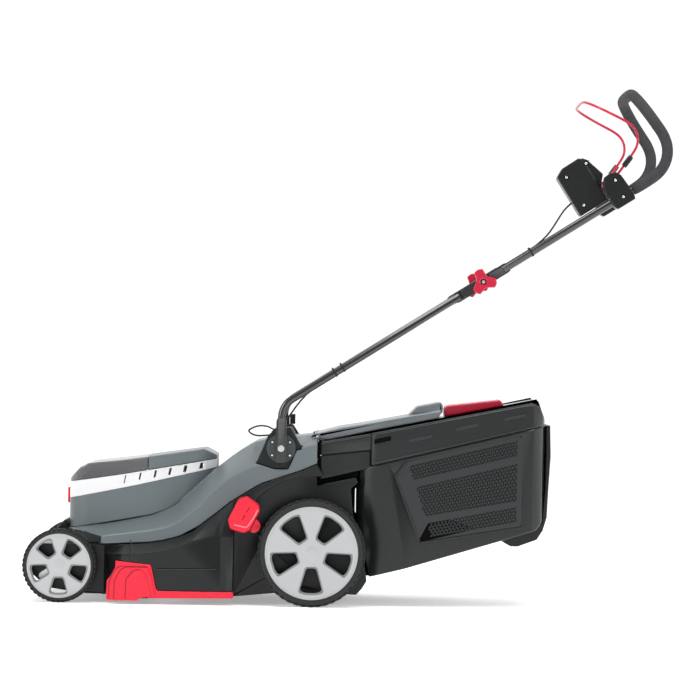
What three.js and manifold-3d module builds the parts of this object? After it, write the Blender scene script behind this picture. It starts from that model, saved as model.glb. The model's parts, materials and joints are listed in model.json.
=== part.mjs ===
// Battery push lawn mower with a rear grass box and a folding handle.
// Millimetres, +Z up. The machine drives towards -X, the handle trails towards +X, and Y runs across it.
// The ground is Z = 0 with the cutting height at its lowest setting.
import * as THREE from "three";
import { mergeVertices } from "three/addons/utils/BufferGeometryUtils.js";
import Module from "manifold-3d";

const wasm = await Module();
wasm.setup();

// ---------------------------------------------------------------- driving dimensions
const gap = 0.3; // between pieces that touch
const play = 0.5; // between a turning piece and what it turns in

const wheelBase = 514;
const rearAxleX = -67;
const rearTyreRadius = 110;
const rearTyreWidth = 42;
const rearTyreDepth = 14; // from the rim to the tread
const rearRimRadius = rearTyreRadius - rearTyreDepth;
const rearRimBand = 17; // outside the rim's windows
const rearTrack = 440; // over the outer faces of the rear tyres
const frontTyreRadius = 75;
const frontTyreWidth = 38;
const frontTyreDepth = 8.5;
const frontRimRadius = frontTyreRadius - frontTyreDepth;
const frontRimBand = 12.5;
const frontTrack = 406;
const axleRadius = 5;

const crankThrow = 42; // from an axle's pivot to its wheel
const crankAngle = 33; // degrees above level at the lowest cutting height
const linkArm = 44; // from an axle's pivot to the link rod's pin
const linkArmAngle = 105;

const deckInset = 8; // of the deck's side bulges from the outer faces of the rear tyres
const deckHalfWidth = rearTrack / 2 - deckInset;
const coreHalfWidth = 158; // between the wheels
const deckWall = 4;
const deckUnderside = 16;
const coverHalfWidth = 178;
const coverWall = 3;
const crownHalfWidth = 112; // of the nearly level part of the cover

const bladeX = -365;
const bladeLength = 370;
const chamberRadius = 190;
const chamberTop = 92;
const motorRadius = 52;
const motorHeight = 92;
const shaftRadius = 8;

const hoodHalfWidth = 121;
const hoodWall = 3;

const pivotX = -133; // lower handle's pivot on the deck
const pivotZ = 321;
const handleAngle = 32.5; // of both handle parts, degrees above level
const lowerLegReach = 406; // level distance from the deck's pivot to the star knob
const handleTube = 8; // radius
const flatWidth = 21; // of a flattened tube end
const flatThick = 8;
const lowerLegY = 183;
const upperBeyondKnob = 473; // from the star knob to the corner of the grip
const gripLean = 55; // of the grip, degrees above level, leaning forward
const gripRise = 172; // from the corner of the grip to its crossbar
const gripRadius = 12.3;
const bailRadius = 3;
const cableRadius = 1.8;

const boxWheelGap = 13; // from the box to the inner faces of the rear tyres
const boxHalfWidth = rearTrack / 2 - rearTyreWidth - boxWheelGap;
const boxWall = 3;
const boxNeckHalfWidth = 146; // where the box passes between the wheels
const flapHalfWidth = 118;

// ---------------------------------------------------------------- worked out from those
const frontAxleX = rearAxleX - wheelBase;
const rad = THREE.MathUtils.degToRad;
const fromFront = (dx) => frontAxleX + dx;
const fromRear = (dx) => rearAxleX + dx;
const throwX = crankThrow * Math.cos(rad(crankAngle));
const throwZ = crankThrow * Math.sin(rad(crankAngle));
const rearPivot = [rearAxleX - throwX, rearTyreRadius - throwZ];
const frontPivot = [frontAxleX - throwX, frontTyreRadius - throwZ];
const upperLegY = lowerLegY + flatThick + gap;
const slope = new THREE.Vector3(Math.cos(rad(handleAngle)), 0, Math.sin(rad(handleAngle)));
const kneeZ = pivotZ + 88; // where the upright leg end meets the sloping line
const knobX = pivotX + lowerLegReach;
const knobZ = kneeZ + (knobX - pivotX) * Math.tan(rad(handleAngle));

// ---------------------------------------------------------------- solids
// A three.js geometry as a solid with its faces pointing out.
function toSolid(geometry) {
  const bare = new THREE.BufferGeometry();
  bare.setAttribute("position", geometry.getAttribute("position"));
  bare.setIndex(geometry.index);
  const merged = mergeVertices(bare, 1e-4);
  const triVerts = new Uint32Array(merged.index.array);
  const vertProperties = merged.getAttribute("position").array;
  const made = new wasm.Manifold(new wasm.Mesh({ numProp: 3, vertProperties, triVerts }));
  if (made.volume() >= 0) return made;
  for (let i = 0; i < triVerts.length; i += 3) {
    [triVerts[i + 1], triVerts[i + 2]] = [triVerts[i + 2], triVerts[i + 1]];
  }
  return new wasm.Manifold(new wasm.Mesh({ numProp: 3, vertProperties, triVerts }));
}

const join = (first, ...others) => others.reduce((all, one) => all.add(one), first);
const cut = (first, ...others) => others.reduce((all, one) => all.subtract(one), first);

// A flat outline made solid: points and holes are lists of [a, b].
function extruded(points, depth, holes = []) {
  const shape = new THREE.Shape(points.map(([a, b]) => new THREE.Vector2(a, b)));
  for (const hole of holes) {
    shape.holes.push(new THREE.Path(hole.map(([a, b]) => new THREE.Vector2(a, b))));
  }
  return new THREE.ExtrudeGeometry(shape, { depth, bevelEnabled: false });
}

// An outline of [x, z] points from y0 to y1.
function sideways(points, y0, y1, holes = []) {
  const geometry = extruded(points, Math.abs(y1 - y0), holes).rotateX(Math.PI / 2);
  return toSolid(geometry.translate(0, Math.max(y0, y1), 0));
}

// An outline of [x, y] points from z0 to z1.
function upright(points, z0, z1, holes = []) {
  return toSolid(extruded(points, z1 - z0, holes).translate(0, 0, z0));
}

function block(x0, x1, y0, y1, z0, z1) {
  const box = new THREE.BoxGeometry(x1 - x0, Math.abs(y1 - y0), z1 - z0);
  return toSolid(box.translate((x0 + x1) / 2, (y0 + y1) / 2, (z0 + z1) / 2));
}

// A profile that stays off the axis closes on itself.
const closed = (profile) => (profile[0][0] > 0 ? [...profile, profile[0]] : profile);

// A profile of [radius, y] points turned about the line y through (x, z). A facet lies square below it.
function turned(profile, sides, x, z) {
  const out = 1 / Math.cos(Math.PI / sides);
  const points = closed(profile).map(([r, y]) => new THREE.Vector2(r * out, y));
  const lathe = new THREE.LatheGeometry(points, sides).rotateY(Math.PI / sides);
  return toSolid(lathe.translate(x, 0, z));
}

// A profile of [radius, z] points turned about the upright line through (x, y).
function spun(profile, sides, x, y) {
  const points = closed(profile).map(([r, z]) => new THREE.Vector2(r, z));
  const lathe = new THREE.LatheGeometry(points, sides).rotateX(Math.PI / 2);
  return toSolid(lathe.translate(x, y, 0));
}

const rod = (radius, y0, y1, x, z, sides = 12) =>
  turned([[0, y0], [radius, y0], [radius, y1], [0, y1]], sides, x, z);

// Points of a circle's arc as [a, b], from one angle in degrees to another.
function arc(a, b, radius, from, to, steps) {
  return Array.from({ length: steps + 1 }, (_, i) => {
    const angle = rad(from + ((to - from) * i) / steps);
    return [a + radius * Math.cos(angle), b + radius * Math.sin(angle)];
  });
}

// A solid between two height fields over a grid of stations.
function sheetOver(xs, ys, top, bottom) {
  const position = [];
  const index = [];
  for (const height of [top, bottom]) {
    for (const x of xs) for (const y of ys) position.push(x, y, height(x, y));
  }
  const layer = xs.length * ys.length;
  const at = (i, j, under) => i * ys.length + j + (under ? layer : 0);
  const quad = (a, b, c, d) => index.push(a, b, c, a, c, d);
  for (let i = 0; i + 1 < xs.length; i++) {
    for (let j = 0; j + 1 < ys.length; j++) {
      quad(at(i, j), at(i + 1, j), at(i + 1, j + 1), at(i, j + 1));
      quad(at(i, j, 1), at(i, j + 1, 1), at(i + 1, j + 1, 1), at(i + 1, j, 1));
    }
  }
  const lastX = xs.length - 1;
  const lastY = ys.length - 1;
  for (let i = 0; i < lastX; i++) {
    quad(at(i, 0), at(i, 0, 1), at(i + 1, 0, 1), at(i + 1, 0));
    quad(at(i, lastY), at(i + 1, lastY), at(i + 1, lastY, 1), at(i, lastY, 1));
  }
  for (let j = 0; j < lastY; j++) {
    quad(at(0, j), at(0, j + 1), at(0, j + 1, 1), at(0, j, 1));
    quad(at(lastX, j), at(lastX, j, 1), at(lastX, j + 1, 1), at(lastX, j + 1));
  }
  const geometry = new THREE.BufferGeometry();
  geometry.setAttribute("position", new THREE.Float32BufferAttribute(position, 3));
  geometry.setIndex(index);
  return toSolid(geometry);
}

// The same number of points in every section, joined section to section and closed at both ends.
function lofted(sections) {
  const count = sections[0].length;
  const position = sections.flat(2);
  const index = [];
  for (let s = 0; s + 1 < sections.length; s++) {
    for (let i = 0; i < count; i++) {
      const a = s * count + i;
      const b = s * count + ((i + 1) % count);
      index.push(a, b, b + count, a, b + count, a + count);
    }
  }
  const last = (sections.length - 1) * count;
  for (let i = 1; i + 1 < count; i++) {
    index.push(0, i + 1, i, last, last + i, last + i + 1);
  }
  const geometry = new THREE.BufferGeometry();
  geometry.setAttribute("position", new THREE.Float32BufferAttribute(position, 3));
  geometry.setIndex(index);
  return toSolid(geometry);
}

// A polyline whose corners are rounded: radii[i] belongs to the corner points[i].
function rounded(points, radii, steps = 6) {
  const route = [points[0].clone()];
  for (let i = 1; i + 1 < points.length; i++) {
    const before = points[i - 1].clone().sub(points[i]).normalize();
    const after = points[i + 1].clone().sub(points[i]).normalize();
    const half = before.angleTo(after) / 2;
    const reach = radii[i] / Math.tan(half);
    const centreWay = before.clone().add(after).normalize();
    const centre = points[i].clone().addScaledVector(centreWay, radii[i] / Math.sin(half));
    const start = points[i].clone().addScaledVector(before, reach).sub(centre);
    const axis = before.clone().cross(start).normalize();
    for (let k = 0; k <= steps; k++) {
      const turn = ((Math.PI - 2 * half) * k) / steps;
      route.push(start.clone().applyAxisAngle(axis, turn).add(centre));
    }
  }
  route.push(points[points.length - 1].clone());
  return route;
}

// A curve through given points, with a section at each of them and nowhere else.
class Route extends THREE.Curve {
  constructor(points) {
    super();
    this.points = points;
  }
  getPoint(t) {
    const at = t * (this.points.length - 1);
    const i = Math.min(Math.floor(at), this.points.length - 2);
    return this.points[i].clone().lerp(this.points[i + 1], at - i);
  }
  getSpacedPoints() {
    return this.points.map((point) => point.clone());
  }
  getTangentAt(t) {
    const last = this.points.length - 1;
    const i = Math.round(t * last);
    const way = new THREE.Vector3();
    for (const k of [i - 1, i]) {
      if (k < 0 || k >= last) continue;
      way.add(this.points[k + 1].clone().sub(this.points[k]).normalize());
    }
    return way.normalize();
  }
}

// A round tube along a list of points. With a bore it is a sleeve.
function tube(points, radius, sides, bore = 0) {
  const circle = (r) => arc(0, 0, r, 0, 360, sides).slice(1).map(([a, b]) => new THREE.Vector2(a, b));
  const shape = new THREE.Shape(circle(radius));
  if (bore) shape.holes.push(new THREE.Path(circle(bore)));
  const settings = { steps: points.length - 1, extrudePath: new Route(points), bevelEnabled: false };
  return toSolid(new THREE.ExtrudeGeometry(shape, settings));
}

const vec = (x, y, z) => new THREE.Vector3(x, y, z);

// A value read off a line of [x, z] points.
function along(line, x) {
  if (x <= line[0][0]) return line[0][1];
  for (let i = 1; i < line.length; i++) {
    const [x1, z1] = line[i];
    const [x0, z0] = line[i - 1];
    if (x <= x1) return z0 + ((z1 - z0) * (x - x0)) / (x1 - x0);
  }
  return line[line.length - 1][1];
}

const raised = (line, dz) => line.map(([x, z]) => [x, z + dz]);

// ---------------------------------------------------------------- the object
const mower = new THREE.Group();

const paint = {
  black: { color: 0x1c1e20, roughness: 0.42, metalness: 0 },
  darkGrey: { color: 0x34383a, roughness: 0.35, metalness: 0 },
  grey: { color: 0x7c868c, roughness: 0.45, metalness: 0 },
  paleGrey: { color: 0x9aa3a6, roughness: 0.45, metalness: 0 },
  white: { color: 0xdfe2e4, roughness: 0.5, metalness: 0 },
  smoke: { color: 0x30343a, roughness: 0.15, metalness: 0 },
  red: { color: 0xd8202f, roughness: 0.4, metalness: 0 },
  crimson: { color: 0xa01530, roughness: 0.35, metalness: 0 },
  rubber: { color: 0x2b2e2f, roughness: 0.85, metalness: 0 },
  silver: { color: 0xc9cccd, roughness: 0.38, metalness: 0 },
  steel: { color: 0xa8acb0, roughness: 0.3, metalness: 1 },
  tube: { color: 0x17191b, roughness: 0.3, metalness: 0.2 },
  foam: { color: 0x2c2d2f, roughness: 0.95, metalness: 0 },
};

function add(name, solid, finish) {
  const { vertProperties, triVerts } = solid.getMesh();
  const geometry = new THREE.BufferGeometry();
  geometry.setAttribute("position", new THREE.BufferAttribute(vertProperties, 3));
  geometry.setIndex(new THREE.BufferAttribute(triVerts, 1));
  const flat = geometry.toNonIndexed();
  flat.computeVertexNormals();
  const mesh = new THREE.Mesh(flat, new THREE.MeshStandardMaterial(paint[finish]));
  mesh.name = name;
  mower.add(mesh);
}

// The left side is the operator's left, towards -Y.
const sides = [["left", -1], ["right", 1]];

// ---------------------------------------------------------------- lines of the body, as [x, z]
// Lower edge of the grey cover along the deck's side.
const coverEdge = [
  [fromFront(90), 120], [fromFront(163), 123], [fromFront(204), 128], [fromRear(-269), 139],
  [fromRear(-245), 149], [fromRear(-199), 185], [fromRear(-168), 210], [fromRear(-108), 248],
  [fromRear(-67), 263], [fromRear(-27), 276], [fromRear(8), 291],
];
// Crease where the cover's side turns into its shoulder.
const coverCrease = [
  [fromFront(9), 131], [fromFront(81), 136], [fromFront(183), 150], [fromRear(-294), 158],
  [fromRear(-270), 171], [fromRear(-230), 204], [fromRear(-204), 233], [fromRear(-169), 261],
  [fromRear(-129), 282], [fromRear(-105), 291], [fromRear(-27), 324], [fromRear(8), 331],
];
// The cover's crown, which is also the foot of the motor hood.
const coverCrown = [
  [fromFront(9), 147], [fromFront(77), 159], [fromFront(179), 178], [fromRear(-304), 188],
  [fromRear(-283), 199], [fromRear(-204), 272], [fromRear(-173), 297], [fromRear(-152), 312],
  [fromRear(-120), 332], [fromRear(-95), 339], [fromRear(-24), 345], [fromRear(8), 349],
];
const hoodFront = fromFront(11);
const hoodBack = fromRear(-201);
const bandFoot = [[hoodFront, 209], [fromFront(148), 238], [hoodBack, 276.4]];
const bandTop = [[hoodFront, 243], [fromFront(112), 259], [hoodBack, 294]];
const lidTop = [
  [hoodFront, 250], [fromFront(34), 274], [fromFront(50), 282], [fromFront(126), 291],
  [fromFront(175), 298], [hoodBack - 26, 315], [hoodBack, 303],
];
const lidSeam = fromFront(174);
const flapHinge = [fromRear(7), 345];

// ---------------------------------------------------------------- deck
const noseX = fromFront(-63);
const towerBack = fromRear(83);

function deckOutline() {
  return [
    [noseX, 118], [fromFront(90), 118], ...raised(coverEdge, -1.5).slice(1),
    [fromRear(8), 246], [fromRear(88), 263], [fromRear(92), 252], [fromRear(78), 241], [towerBack, 186],
    [fromRear(112), 66], [fromRear(113), 51], [fromRear(104), 36], [fromRear(92), 23], [fromRear(70), 24],
    [fromRear(-18), 41], [fromRear(-73), 24], [fromRear(-156), deckUnderside],
    [fromFront(54), deckUnderside + 1], [fromFront(-28), 28], [noseX, 60],
  ];
}

function deckHollow() {
  const under = -10;
  return [
    [noseX + deckWall, under], [noseX + deckWall, 118 - deckWall], [fromFront(90), 118 - deckWall],
    ...raised(coverEdge, -1.5 - deckWall).slice(1, -1), [fromRear(3), 284], [fromRear(5), 242],
    [fromRear(71), 256], [fromRear(71), under],
  ];
}

// One side bulge of the deck, as a loft of sections across it.
const bulgeReach = [
  [fromFront(90), coreHalfWidth + 2], [fromFront(130), deckHalfWidth], [fromRear(-185), deckHalfWidth],
  [fromRear(-160), deckHalfWidth - 5],
];
function sideBulge(side, inset, under) {
  const [front, back] = [fromFront(90) + inset, fromRear(-160) - inset];
  const between = [...bulgeReach, ...coverEdge].map(([x]) => x).filter((x) => x > front + 5 && x < back - 5);
  const stations = [front, ...between.sort((a, b) => a - b), back];
  return lofted(stations.map((x) => {
    const out = along(bulgeReach, x) - inset;
    const shoulder = Math.min(out, coverHalfWidth + 3 - inset);
    const top = along(coverEdge, x) - 1.5 - inset;
    const waist = Math.min(top - 18, 140);
    const inner = coreHalfWidth - 20;
    return [[inner, under], [out, under], [out, waist], [shoulder, top], [inner, top]]
      .map(([y, z]) => [x, side * y, z]);
  }));
}

// The wheel arch's brow over a rear wheel.
function archBrow(side) {
  const arch = arc(rearAxleX, rearTyreRadius, 156, 82, 166, 8);
  const brow = raised(coverEdge, -1.5).filter(([x]) => x > fromRear(-200));
  const outline = [...arch, ...brow];
  return sideways(outline, side * (coreHalfWidth - 2), side * (coverHalfWidth + 3));
}

function bladeChamber(grow) {
  const r = chamberRadius + grow;
  const top = chamberTop + grow;
  const foot = deckUnderside + 1 - (grow ? 0 : 30);
  const dome = r - 50;
  const profile = [[0, foot], [r, foot], [r, 70 + grow], [dome, 74 + grow], [dome, top], [0, top]];
  return spun(profile, 32, bladeX, 0);
}

const chuteFloor = [[bladeX + 175, 40], [fromRear(-63), 102], [fromRear(130), 142]];
const chuteRoof = [[fromRear(130), 258], [fromRear(7), 234], [fromRear(-83), 152], [bladeX + 165, 100]];
const chuteMouth = [[bladeX + 60, 86], [bladeX + 60, 40]];
const chuteHalfWidth = 125;

const deckChuteOuter = () => cut(
  sideways(
    [...raised(chuteFloor, -deckWall), ...raised(chuteRoof, deckWall), [bladeX + 120, 80], [bladeX + 120, 36]],
    -chuteHalfWidth - deckWall, chuteHalfWidth + deckWall,
  ),
  block(fromRear(75), fromRear(200), -300, 300, 0, 400),
);

const combOutline = [
  [fromFront(98), 9], [fromFront(99), 48], [fromFront(104), 54], [fromFront(116), 75], [fromFront(116), 88],
  [fromFront(188), 81], [fromFront(191), 70], [fromFront(199), 33], [fromFront(204), 28],
  [fromRear(-158), 28], [fromRear(-158), 15], [fromFront(167), 12.5], [fromFront(161), 7.5], [fromFront(110), 7.5],
];

const grown = (points, by) => {
  const shape = points.map(([x, z]) => new THREE.Vector2(x, z));
  const turn = THREE.ShapeUtils.isClockWise(shape) ? -1 : 1;
  return shape.map((point, i) => {
    const before = point.clone().sub(shape[(i + shape.length - 1) % shape.length]).normalize();
    const after = shape[(i + 1) % shape.length].clone().sub(point).normalize();
    const normalBefore = new THREE.Vector2(before.y, -before.x);
    const normalAfter = new THREE.Vector2(after.y, -after.x);
    const corner = normalBefore.add(normalAfter).normalize();
    const reach = (turn * by) / Math.max(0.5, corner.dot(normalAfter));
    return [point.x + corner.x * reach, point.y + corner.y * reach];
  });
};

const combInner = 197;
const combOuter = 214;

function deck() {
  let shell = sideways(deckOutline(), -coreHalfWidth, coreHalfWidth);
  for (const [, side] of sides) {
    shell = join(shell, sideBulge(side, 0, deckUnderside + 1), archBrow(side));
  }
  shell = cut(shell, sideways(deckHollow(), -coreHalfWidth + deckWall, coreHalfWidth - deckWall));
  for (const [, side] of sides) shell = cut(shell, sideBulge(side, deckWall, -10));
  shell = join(shell, bladeChamber(deckWall), deckChuteOuter());
  shell = cut(shell, bladeChamber(0));
  const passage = sideways([...chuteFloor, ...chuteRoof, ...chuteMouth], -chuteHalfWidth, chuteHalfWidth);
  shell = cut(shell, passage);
  // Holes for the shaft, the motor and the axles.
  shell = cut(
    shell,
    rodUp(shaftRadius + 6, chamberTop - 5, chamberTop + 20, bladeX, 0),
    rodUp(motorRadius + 14, chamberTop + deckWall + gap, 200, bladeX, 0, 24),
    rod(axleRadius + play, -coreHalfWidth - 60, coreHalfWidth + 60, ...rearPivot),
    rod(axleRadius + play, -coreHalfWidth - 60, coreHalfWidth + 60, ...frontPivot),
  );
  for (const [, side] of sides) {
    // Seats for the grass combs.
    shell = cut(shell, sideways(grown(combOutline, gap + 0.3), side * (combInner - gap), side * 260));
  }
  return shell;
}

function rodUp(radius, z0, z1, x, y, around = 16) {
  return spun([[0, z0], [radius, z0], [radius, z1], [0, z1]], around, x, y);
}

add("deck", deck(), "black");

// ---------------------------------------------------------------- grass combs
const combPocket = [
  [fromFront(143), 14], [fromFront(143), 55], [fromFront(184), 56], [fromFront(192), 20], [fromFront(180), 14],
];
for (const [name, side] of sides) {
  const face = (combInner + combOuter) / 2;
  let comb = sideways(combOutline, side * combInner, side * face);
  const rim = cut(
    sideways(combOutline, side * face, side * combOuter),
    sideways(combPocket, side * (face + gap), side * (combOuter + 5)),
  );
  comb = join(comb, rim);
  for (const dx of [108, 121, 134]) {
    comb = cut(comb, block(fromFront(dx), fromFront(dx + 5), side * (face + 2), side * (combOuter + 5), 5, 66));
  }
  add(`grass_comb_${name}`, comb, "red");
}

// ---------------------------------------------------------------- cover
const coverPlan = [
  [fromFront(10), -96], [fromFront(22), -118], [fromFront(55), -150], [fromFront(83), -174], [fromFront(92), -coverHalfWidth],
  [fromRear(8), -coverHalfWidth], [fromRear(8), coverHalfWidth], [fromFront(92), coverHalfWidth],
  [fromFront(83), 174], [fromFront(55), 150], [fromFront(22), 118], [fromFront(10), 96],
];
const coverSide = 6; // thickness of the cover's side

function coverTop(x, y) {
  const crease = along(coverCrease, x);
  const crown = along(coverCrown, x);
  const edge = coverHalfWidth - 3;
  const share = Math.min(1, Math.max(0, (Math.abs(y) - crownHalfWidth) / (edge - crownHalfWidth)));
  const end = Math.max(0, Math.abs(y) - edge);
  return crown + (crease - crown) * share - end;
}

const bracketOutline = [
  [pivotX - 51, pivotZ - 31], [pivotX - 37, pivotZ + 2], [pivotX - 27, pivotZ + 27], [pivotX - 17, pivotZ + 35],
  [pivotX + 11, pivotZ + 43], [pivotX + 19, pivotZ + 42], [pivotX + 30, pivotZ + 25], [pivotX + 41, pivotZ + 5],
  [pivotX + 41, pivotZ - 2], [pivotX + 32, pivotZ - 3], [pivotX + 15, pivotZ - 42], [pivotX - 14, pivotZ - 42],
];
const bracketInner = 164;
const bracketOuter = 170;
const discInner = bracketOuter + gap;
const discOuter = lowerLegY - flatThick / 2 - 1;
const discRadius = 29.5;

function topCover() {
  const xs = [...new Set([...coverCrown, ...coverCrease].map(([x]) => x))].sort((a, b) => a - b);
  const half = [
    crownHalfWidth, coverHalfWidth - coverSide - 0.5, coverHalfWidth - coverSide, coverHalfWidth - 3, coverHalfWidth,
  ];
  const ys = [...half.slice().reverse().map((y) => -y), ...half];
  const under = (x, y) =>
    Math.abs(y) > coverHalfWidth - coverSide - 0.1 ? along(coverEdge, x) : coverTop(x, y) - coverWall;
  const sheet = sheetOver(xs, ys, coverTop, under);
  let cover = sheet.intersect(upright(coverPlan, 0, 500));
  // Two ears stand behind the handle brackets.
  const ear = [
    [pivotX - 36, pivotZ - 36], [pivotX - 22, pivotZ + 24], [pivotX + 11, pivotZ + 38], [pivotX + 18, pivotZ + 37],
    [pivotX + 38, pivotZ - 2], [pivotX + 38, pivotZ - 36],
  ];
  for (const [, side] of sides) {
    cover = join(cover, sideways(ear, side * 154, side * (bracketInner - gap)));
    cover = cut(
      cover,
      sideways(grown(bracketOutline, 0.6), side * (bracketInner - gap), side * 200),
      rod(discRadius + 0.6, side * (bracketInner - gap), side * 200, pivotX, pivotZ, 24),
    );
  }
  // The hood stands over an opening for the motor and the battery tray.
  const opening = block(fromFront(44), fromRear(-262), -84, 84, 100, 400);
  const frontLip = block(fromFront(0), fromFront(10.2), -200, 200, 0, 500);
  const flapNotch = block(flapHinge[0] - 8.5, fromRear(20), -flapHalfWidth, flapHalfWidth, 320, 400);
  cover = cut(cover, opening, frontLip, flapNotch);
  for (const [, side] of sides) {
    // A bearing for the flap's rod.
    const [y0, y1] = [side * (flapHalfWidth + 0.5), side * (flapHalfWidth + 10)];
    const bearing = strap([flapHinge[0] - 6, flapHinge[1] - 1.5], flapHinge, 14, y0, y1);
    cover = cut(join(cover, bearing), rod(3 + gap, y0 - side, y1 + side, ...flapHinge));
  }
  return cover;
}
add("top_cover", topCover(), "grey");

add("front_grip", sideways([
  [fromFront(-18), 118 + gap], [fromFront(-13), 150], [fromFront(4), 166], [fromFront(8), 153], [fromFront(8), 118 + gap],
], -92, 92), "black");

// ---------------------------------------------------------------- motor hood
// Plan of the hood at its widest, smaller by inset all round.
function hoodPlan(inset) {
  const w = hoodHalfWidth - inset;
  const half = [
    [hoodFront + inset, w - 46], [hoodFront + 4 + inset, w - 30], [hoodFront + 16 + inset / 2, w - 14],
    [fromFront(52), w - 4], [fromFront(112), w], [fromFront(190), w - 5], [hoodBack - 60, w - 20],
    [hoodBack - 22 - inset / 2, w - 34], [hoodBack - inset, w - 52],
  ];
  return [...half, ...half.slice().reverse().map(([x, y]) => [x, -y])];
}

// The hood's plan between a lower and an upper line, as a shell open at the bottom.
function hoodShell(lower, upper, roof) {
  const outline = [...lower, ...upper.slice().reverse()];
  const wide = hoodHalfWidth + 5;
  const whole = sideways(outline, -wide, wide).intersect(upright(hoodPlan(0), 0, 500));
  const inside = [...raised(lower, -30), ...raised(upper, roof ? -hoodWall : 30).reverse()];
  const room = sideways(inside, -wide, wide).intersect(upright(hoodPlan(hoodWall), 0, 500));
  return cut(whole, room);
}

const hoodFoot = raised(coverCrown, 0.4).filter(([x]) => x >= hoodFront - 2 && x < hoodBack);
hoodFoot[0] = [hoodFront - 0.5, along(coverCrown, hoodFront) + 0.4];
const hoodFootLine = [...hoodFoot, [hoodBack + 0.5, along(coverCrown, hoodBack) + 0.4]];
const catchHalf = 22;
const catchRoom = block(hoodFront - 3, hoodFront + 9, -catchHalf - play, catchHalf + play, 195.5, 228.5);
const hoodWalls = hoodShell(hoodFootLine, [...bandFoot.slice(0, 2), [hoodBack, 276]], false);
add("motor_hood", cut(hoodWalls, catchRoom), "grey");

// Each vent slot: distance from the front axle, width and height. The slots lean a little to the rear.
const ventSlots = [[127, 2, 17], [158, 3, 14.5], [189, 4, 14.5], [219, 4.5, 14.5], [250, 6, 14.5], [283, 7, 13]];

function ventBand() {
  let band = hoodShell(raised(bandFoot, gap), bandTop, false);
  for (const [dx, width, height] of ventSlots) {
    const x = fromFront(dx);
    const top = along(bandTop, x) - 3;
    const foot = x - 2 - width / 2;
    const head = x + 1 - width / 2;
    const slot = [[foot, top - height], [foot + width, top - height], [head + width, top], [head, top]];
    band = cut(band, sideways(slot, -200, 200));
  }
  return cut(band, catchRoom);
}
add("vent_band", ventBand(), "white");

function lidPiece(from, to) {
  const roof = hoodShell(raised(bandTop, gap), lidTop, true);
  return roof.intersect(block(from, to, -200, 200, 0, 500));
}
add("battery_flap", lidPiece(hoodFront - 5, lidSeam - gap), "smoke");
add("hood_rear_cap", lidPiece(lidSeam, hoodBack + 5), "grey");

add("flap_catch", block(hoodFront - 9, hoodFront + 6, -catchHalf, catchHalf, 196, 228), "red");

// ---------------------------------------------------------------- battery bay
const trayFront = fromFront(38);
const trayBack = fromFront(168);
const trayFloor = 198;
function batteryTray() {
  const outer = block(trayFront, trayBack, -78, 78, trayFloor, 258);
  return cut(outer, block(trayFront + 3, trayBack - 3, -75, 75, trayFloor + 3, 300));
}
add("battery_tray", batteryTray(), "black");
add("battery", block(trayFront + 5, trayFront + 108, -58, 58, trayFloor + 3 + gap, 265), "darkGrey");
add("safety_key", block(trayFront + 112, trayFront + 122, -14, 14, trayFloor + 3 + gap, 262), "red");

// ---------------------------------------------------------------- motor and blade
const motorFoot = chamberTop + deckWall + gap;
const shaftTop = motorFoot + 20;
const shaftFoot = 40;
const bladeZ = 34;
const bladeThick = 4.5;

function motor() {
  const body = rodUp(motorRadius, motorFoot, motorFoot + motorHeight, bladeX, 0, 32);
  return cut(body, rodUp(shaftRadius + play, motorFoot - 1, shaftTop + play, bladeX, 0));
}
add("motor", motor(), "darkGrey");

function motorShaft() {
  const bolt = rodUp(5 + gap, shaftFoot - 1, shaftFoot + 20, bladeX, 0, 12);
  return cut(rodUp(shaftRadius, shaftFoot, shaftTop, bladeX, 0), bolt);
}
add("motor_shaft", motorShaft(), "steel");

const holderFoot = bladeZ + bladeThick + gap;
const bore = shaftRadius + gap;
add("blade_holder", spun([
  [bore, holderFoot], [42, holderFoot], [42, holderFoot + 5], [19, holderFoot + 8], [17, holderFoot + 26],
  [bore, holderFoot + 26],
], 24, bladeX, 0), "black");

function blade() {
  const half = bladeLength / 2;
  const corner = 24;
  const plan = [
    [bladeX - 23, -half], [bladeX + 12, -half], [bladeX + 23, -half + corner], [bladeX + 23, half],
    [bladeX - 12, half], [bladeX - 23, half - corner],
  ];
  const flat = upright(plan, bladeZ, bladeZ + bladeThick);
  // The trailing edges near the tips turn up to lift the grass.
  const lift = (end) => sideways(
    [[-23, 0], [-17, 0], [-19, 15], [-23, 15]].map(([x, z]) => [bladeX + end * x, bladeZ + z]),
    end * (half - 70), end * (half - corner),
  );
  return cut(join(flat, lift(1), lift(-1)), rodUp(5 + gap, 0, 80, bladeX, 0, 12));
}
add("blade", blade(), "steel");
add("blade_bolt", join(
  rodUp(11, bladeZ - gap - 8, bladeZ - gap, bladeX, 0, 6),
  rodUp(5, bladeZ - gap - 4, shaftFoot + 18, bladeX, 0, 12),
), "steel");

// ---------------------------------------------------------------- axles and the height linkage
// A flat bar with round ends between two [x, z] points.
function strap(a, b, width, y0, y1, steps = 6) {
  const angle = THREE.MathUtils.radToDeg(Math.atan2(b[1] - a[1], b[0] - a[0]));
  const half = width / 2;
  const outline = [
    ...arc(...b, half, angle - 90, angle + 90, steps),
    ...arc(...a, half, angle + 90, angle + 270, steps),
  ];
  return sideways(outline, y0, y1);
}

const armInner = coreHalfWidth + 2.3;
const linkY = 143;
const linkThick = 4;
const pinOf = ([x, z]) => [x + linkArm * Math.cos(rad(linkArmAngle)), z + linkArm * Math.sin(rad(linkArmAngle))];

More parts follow.
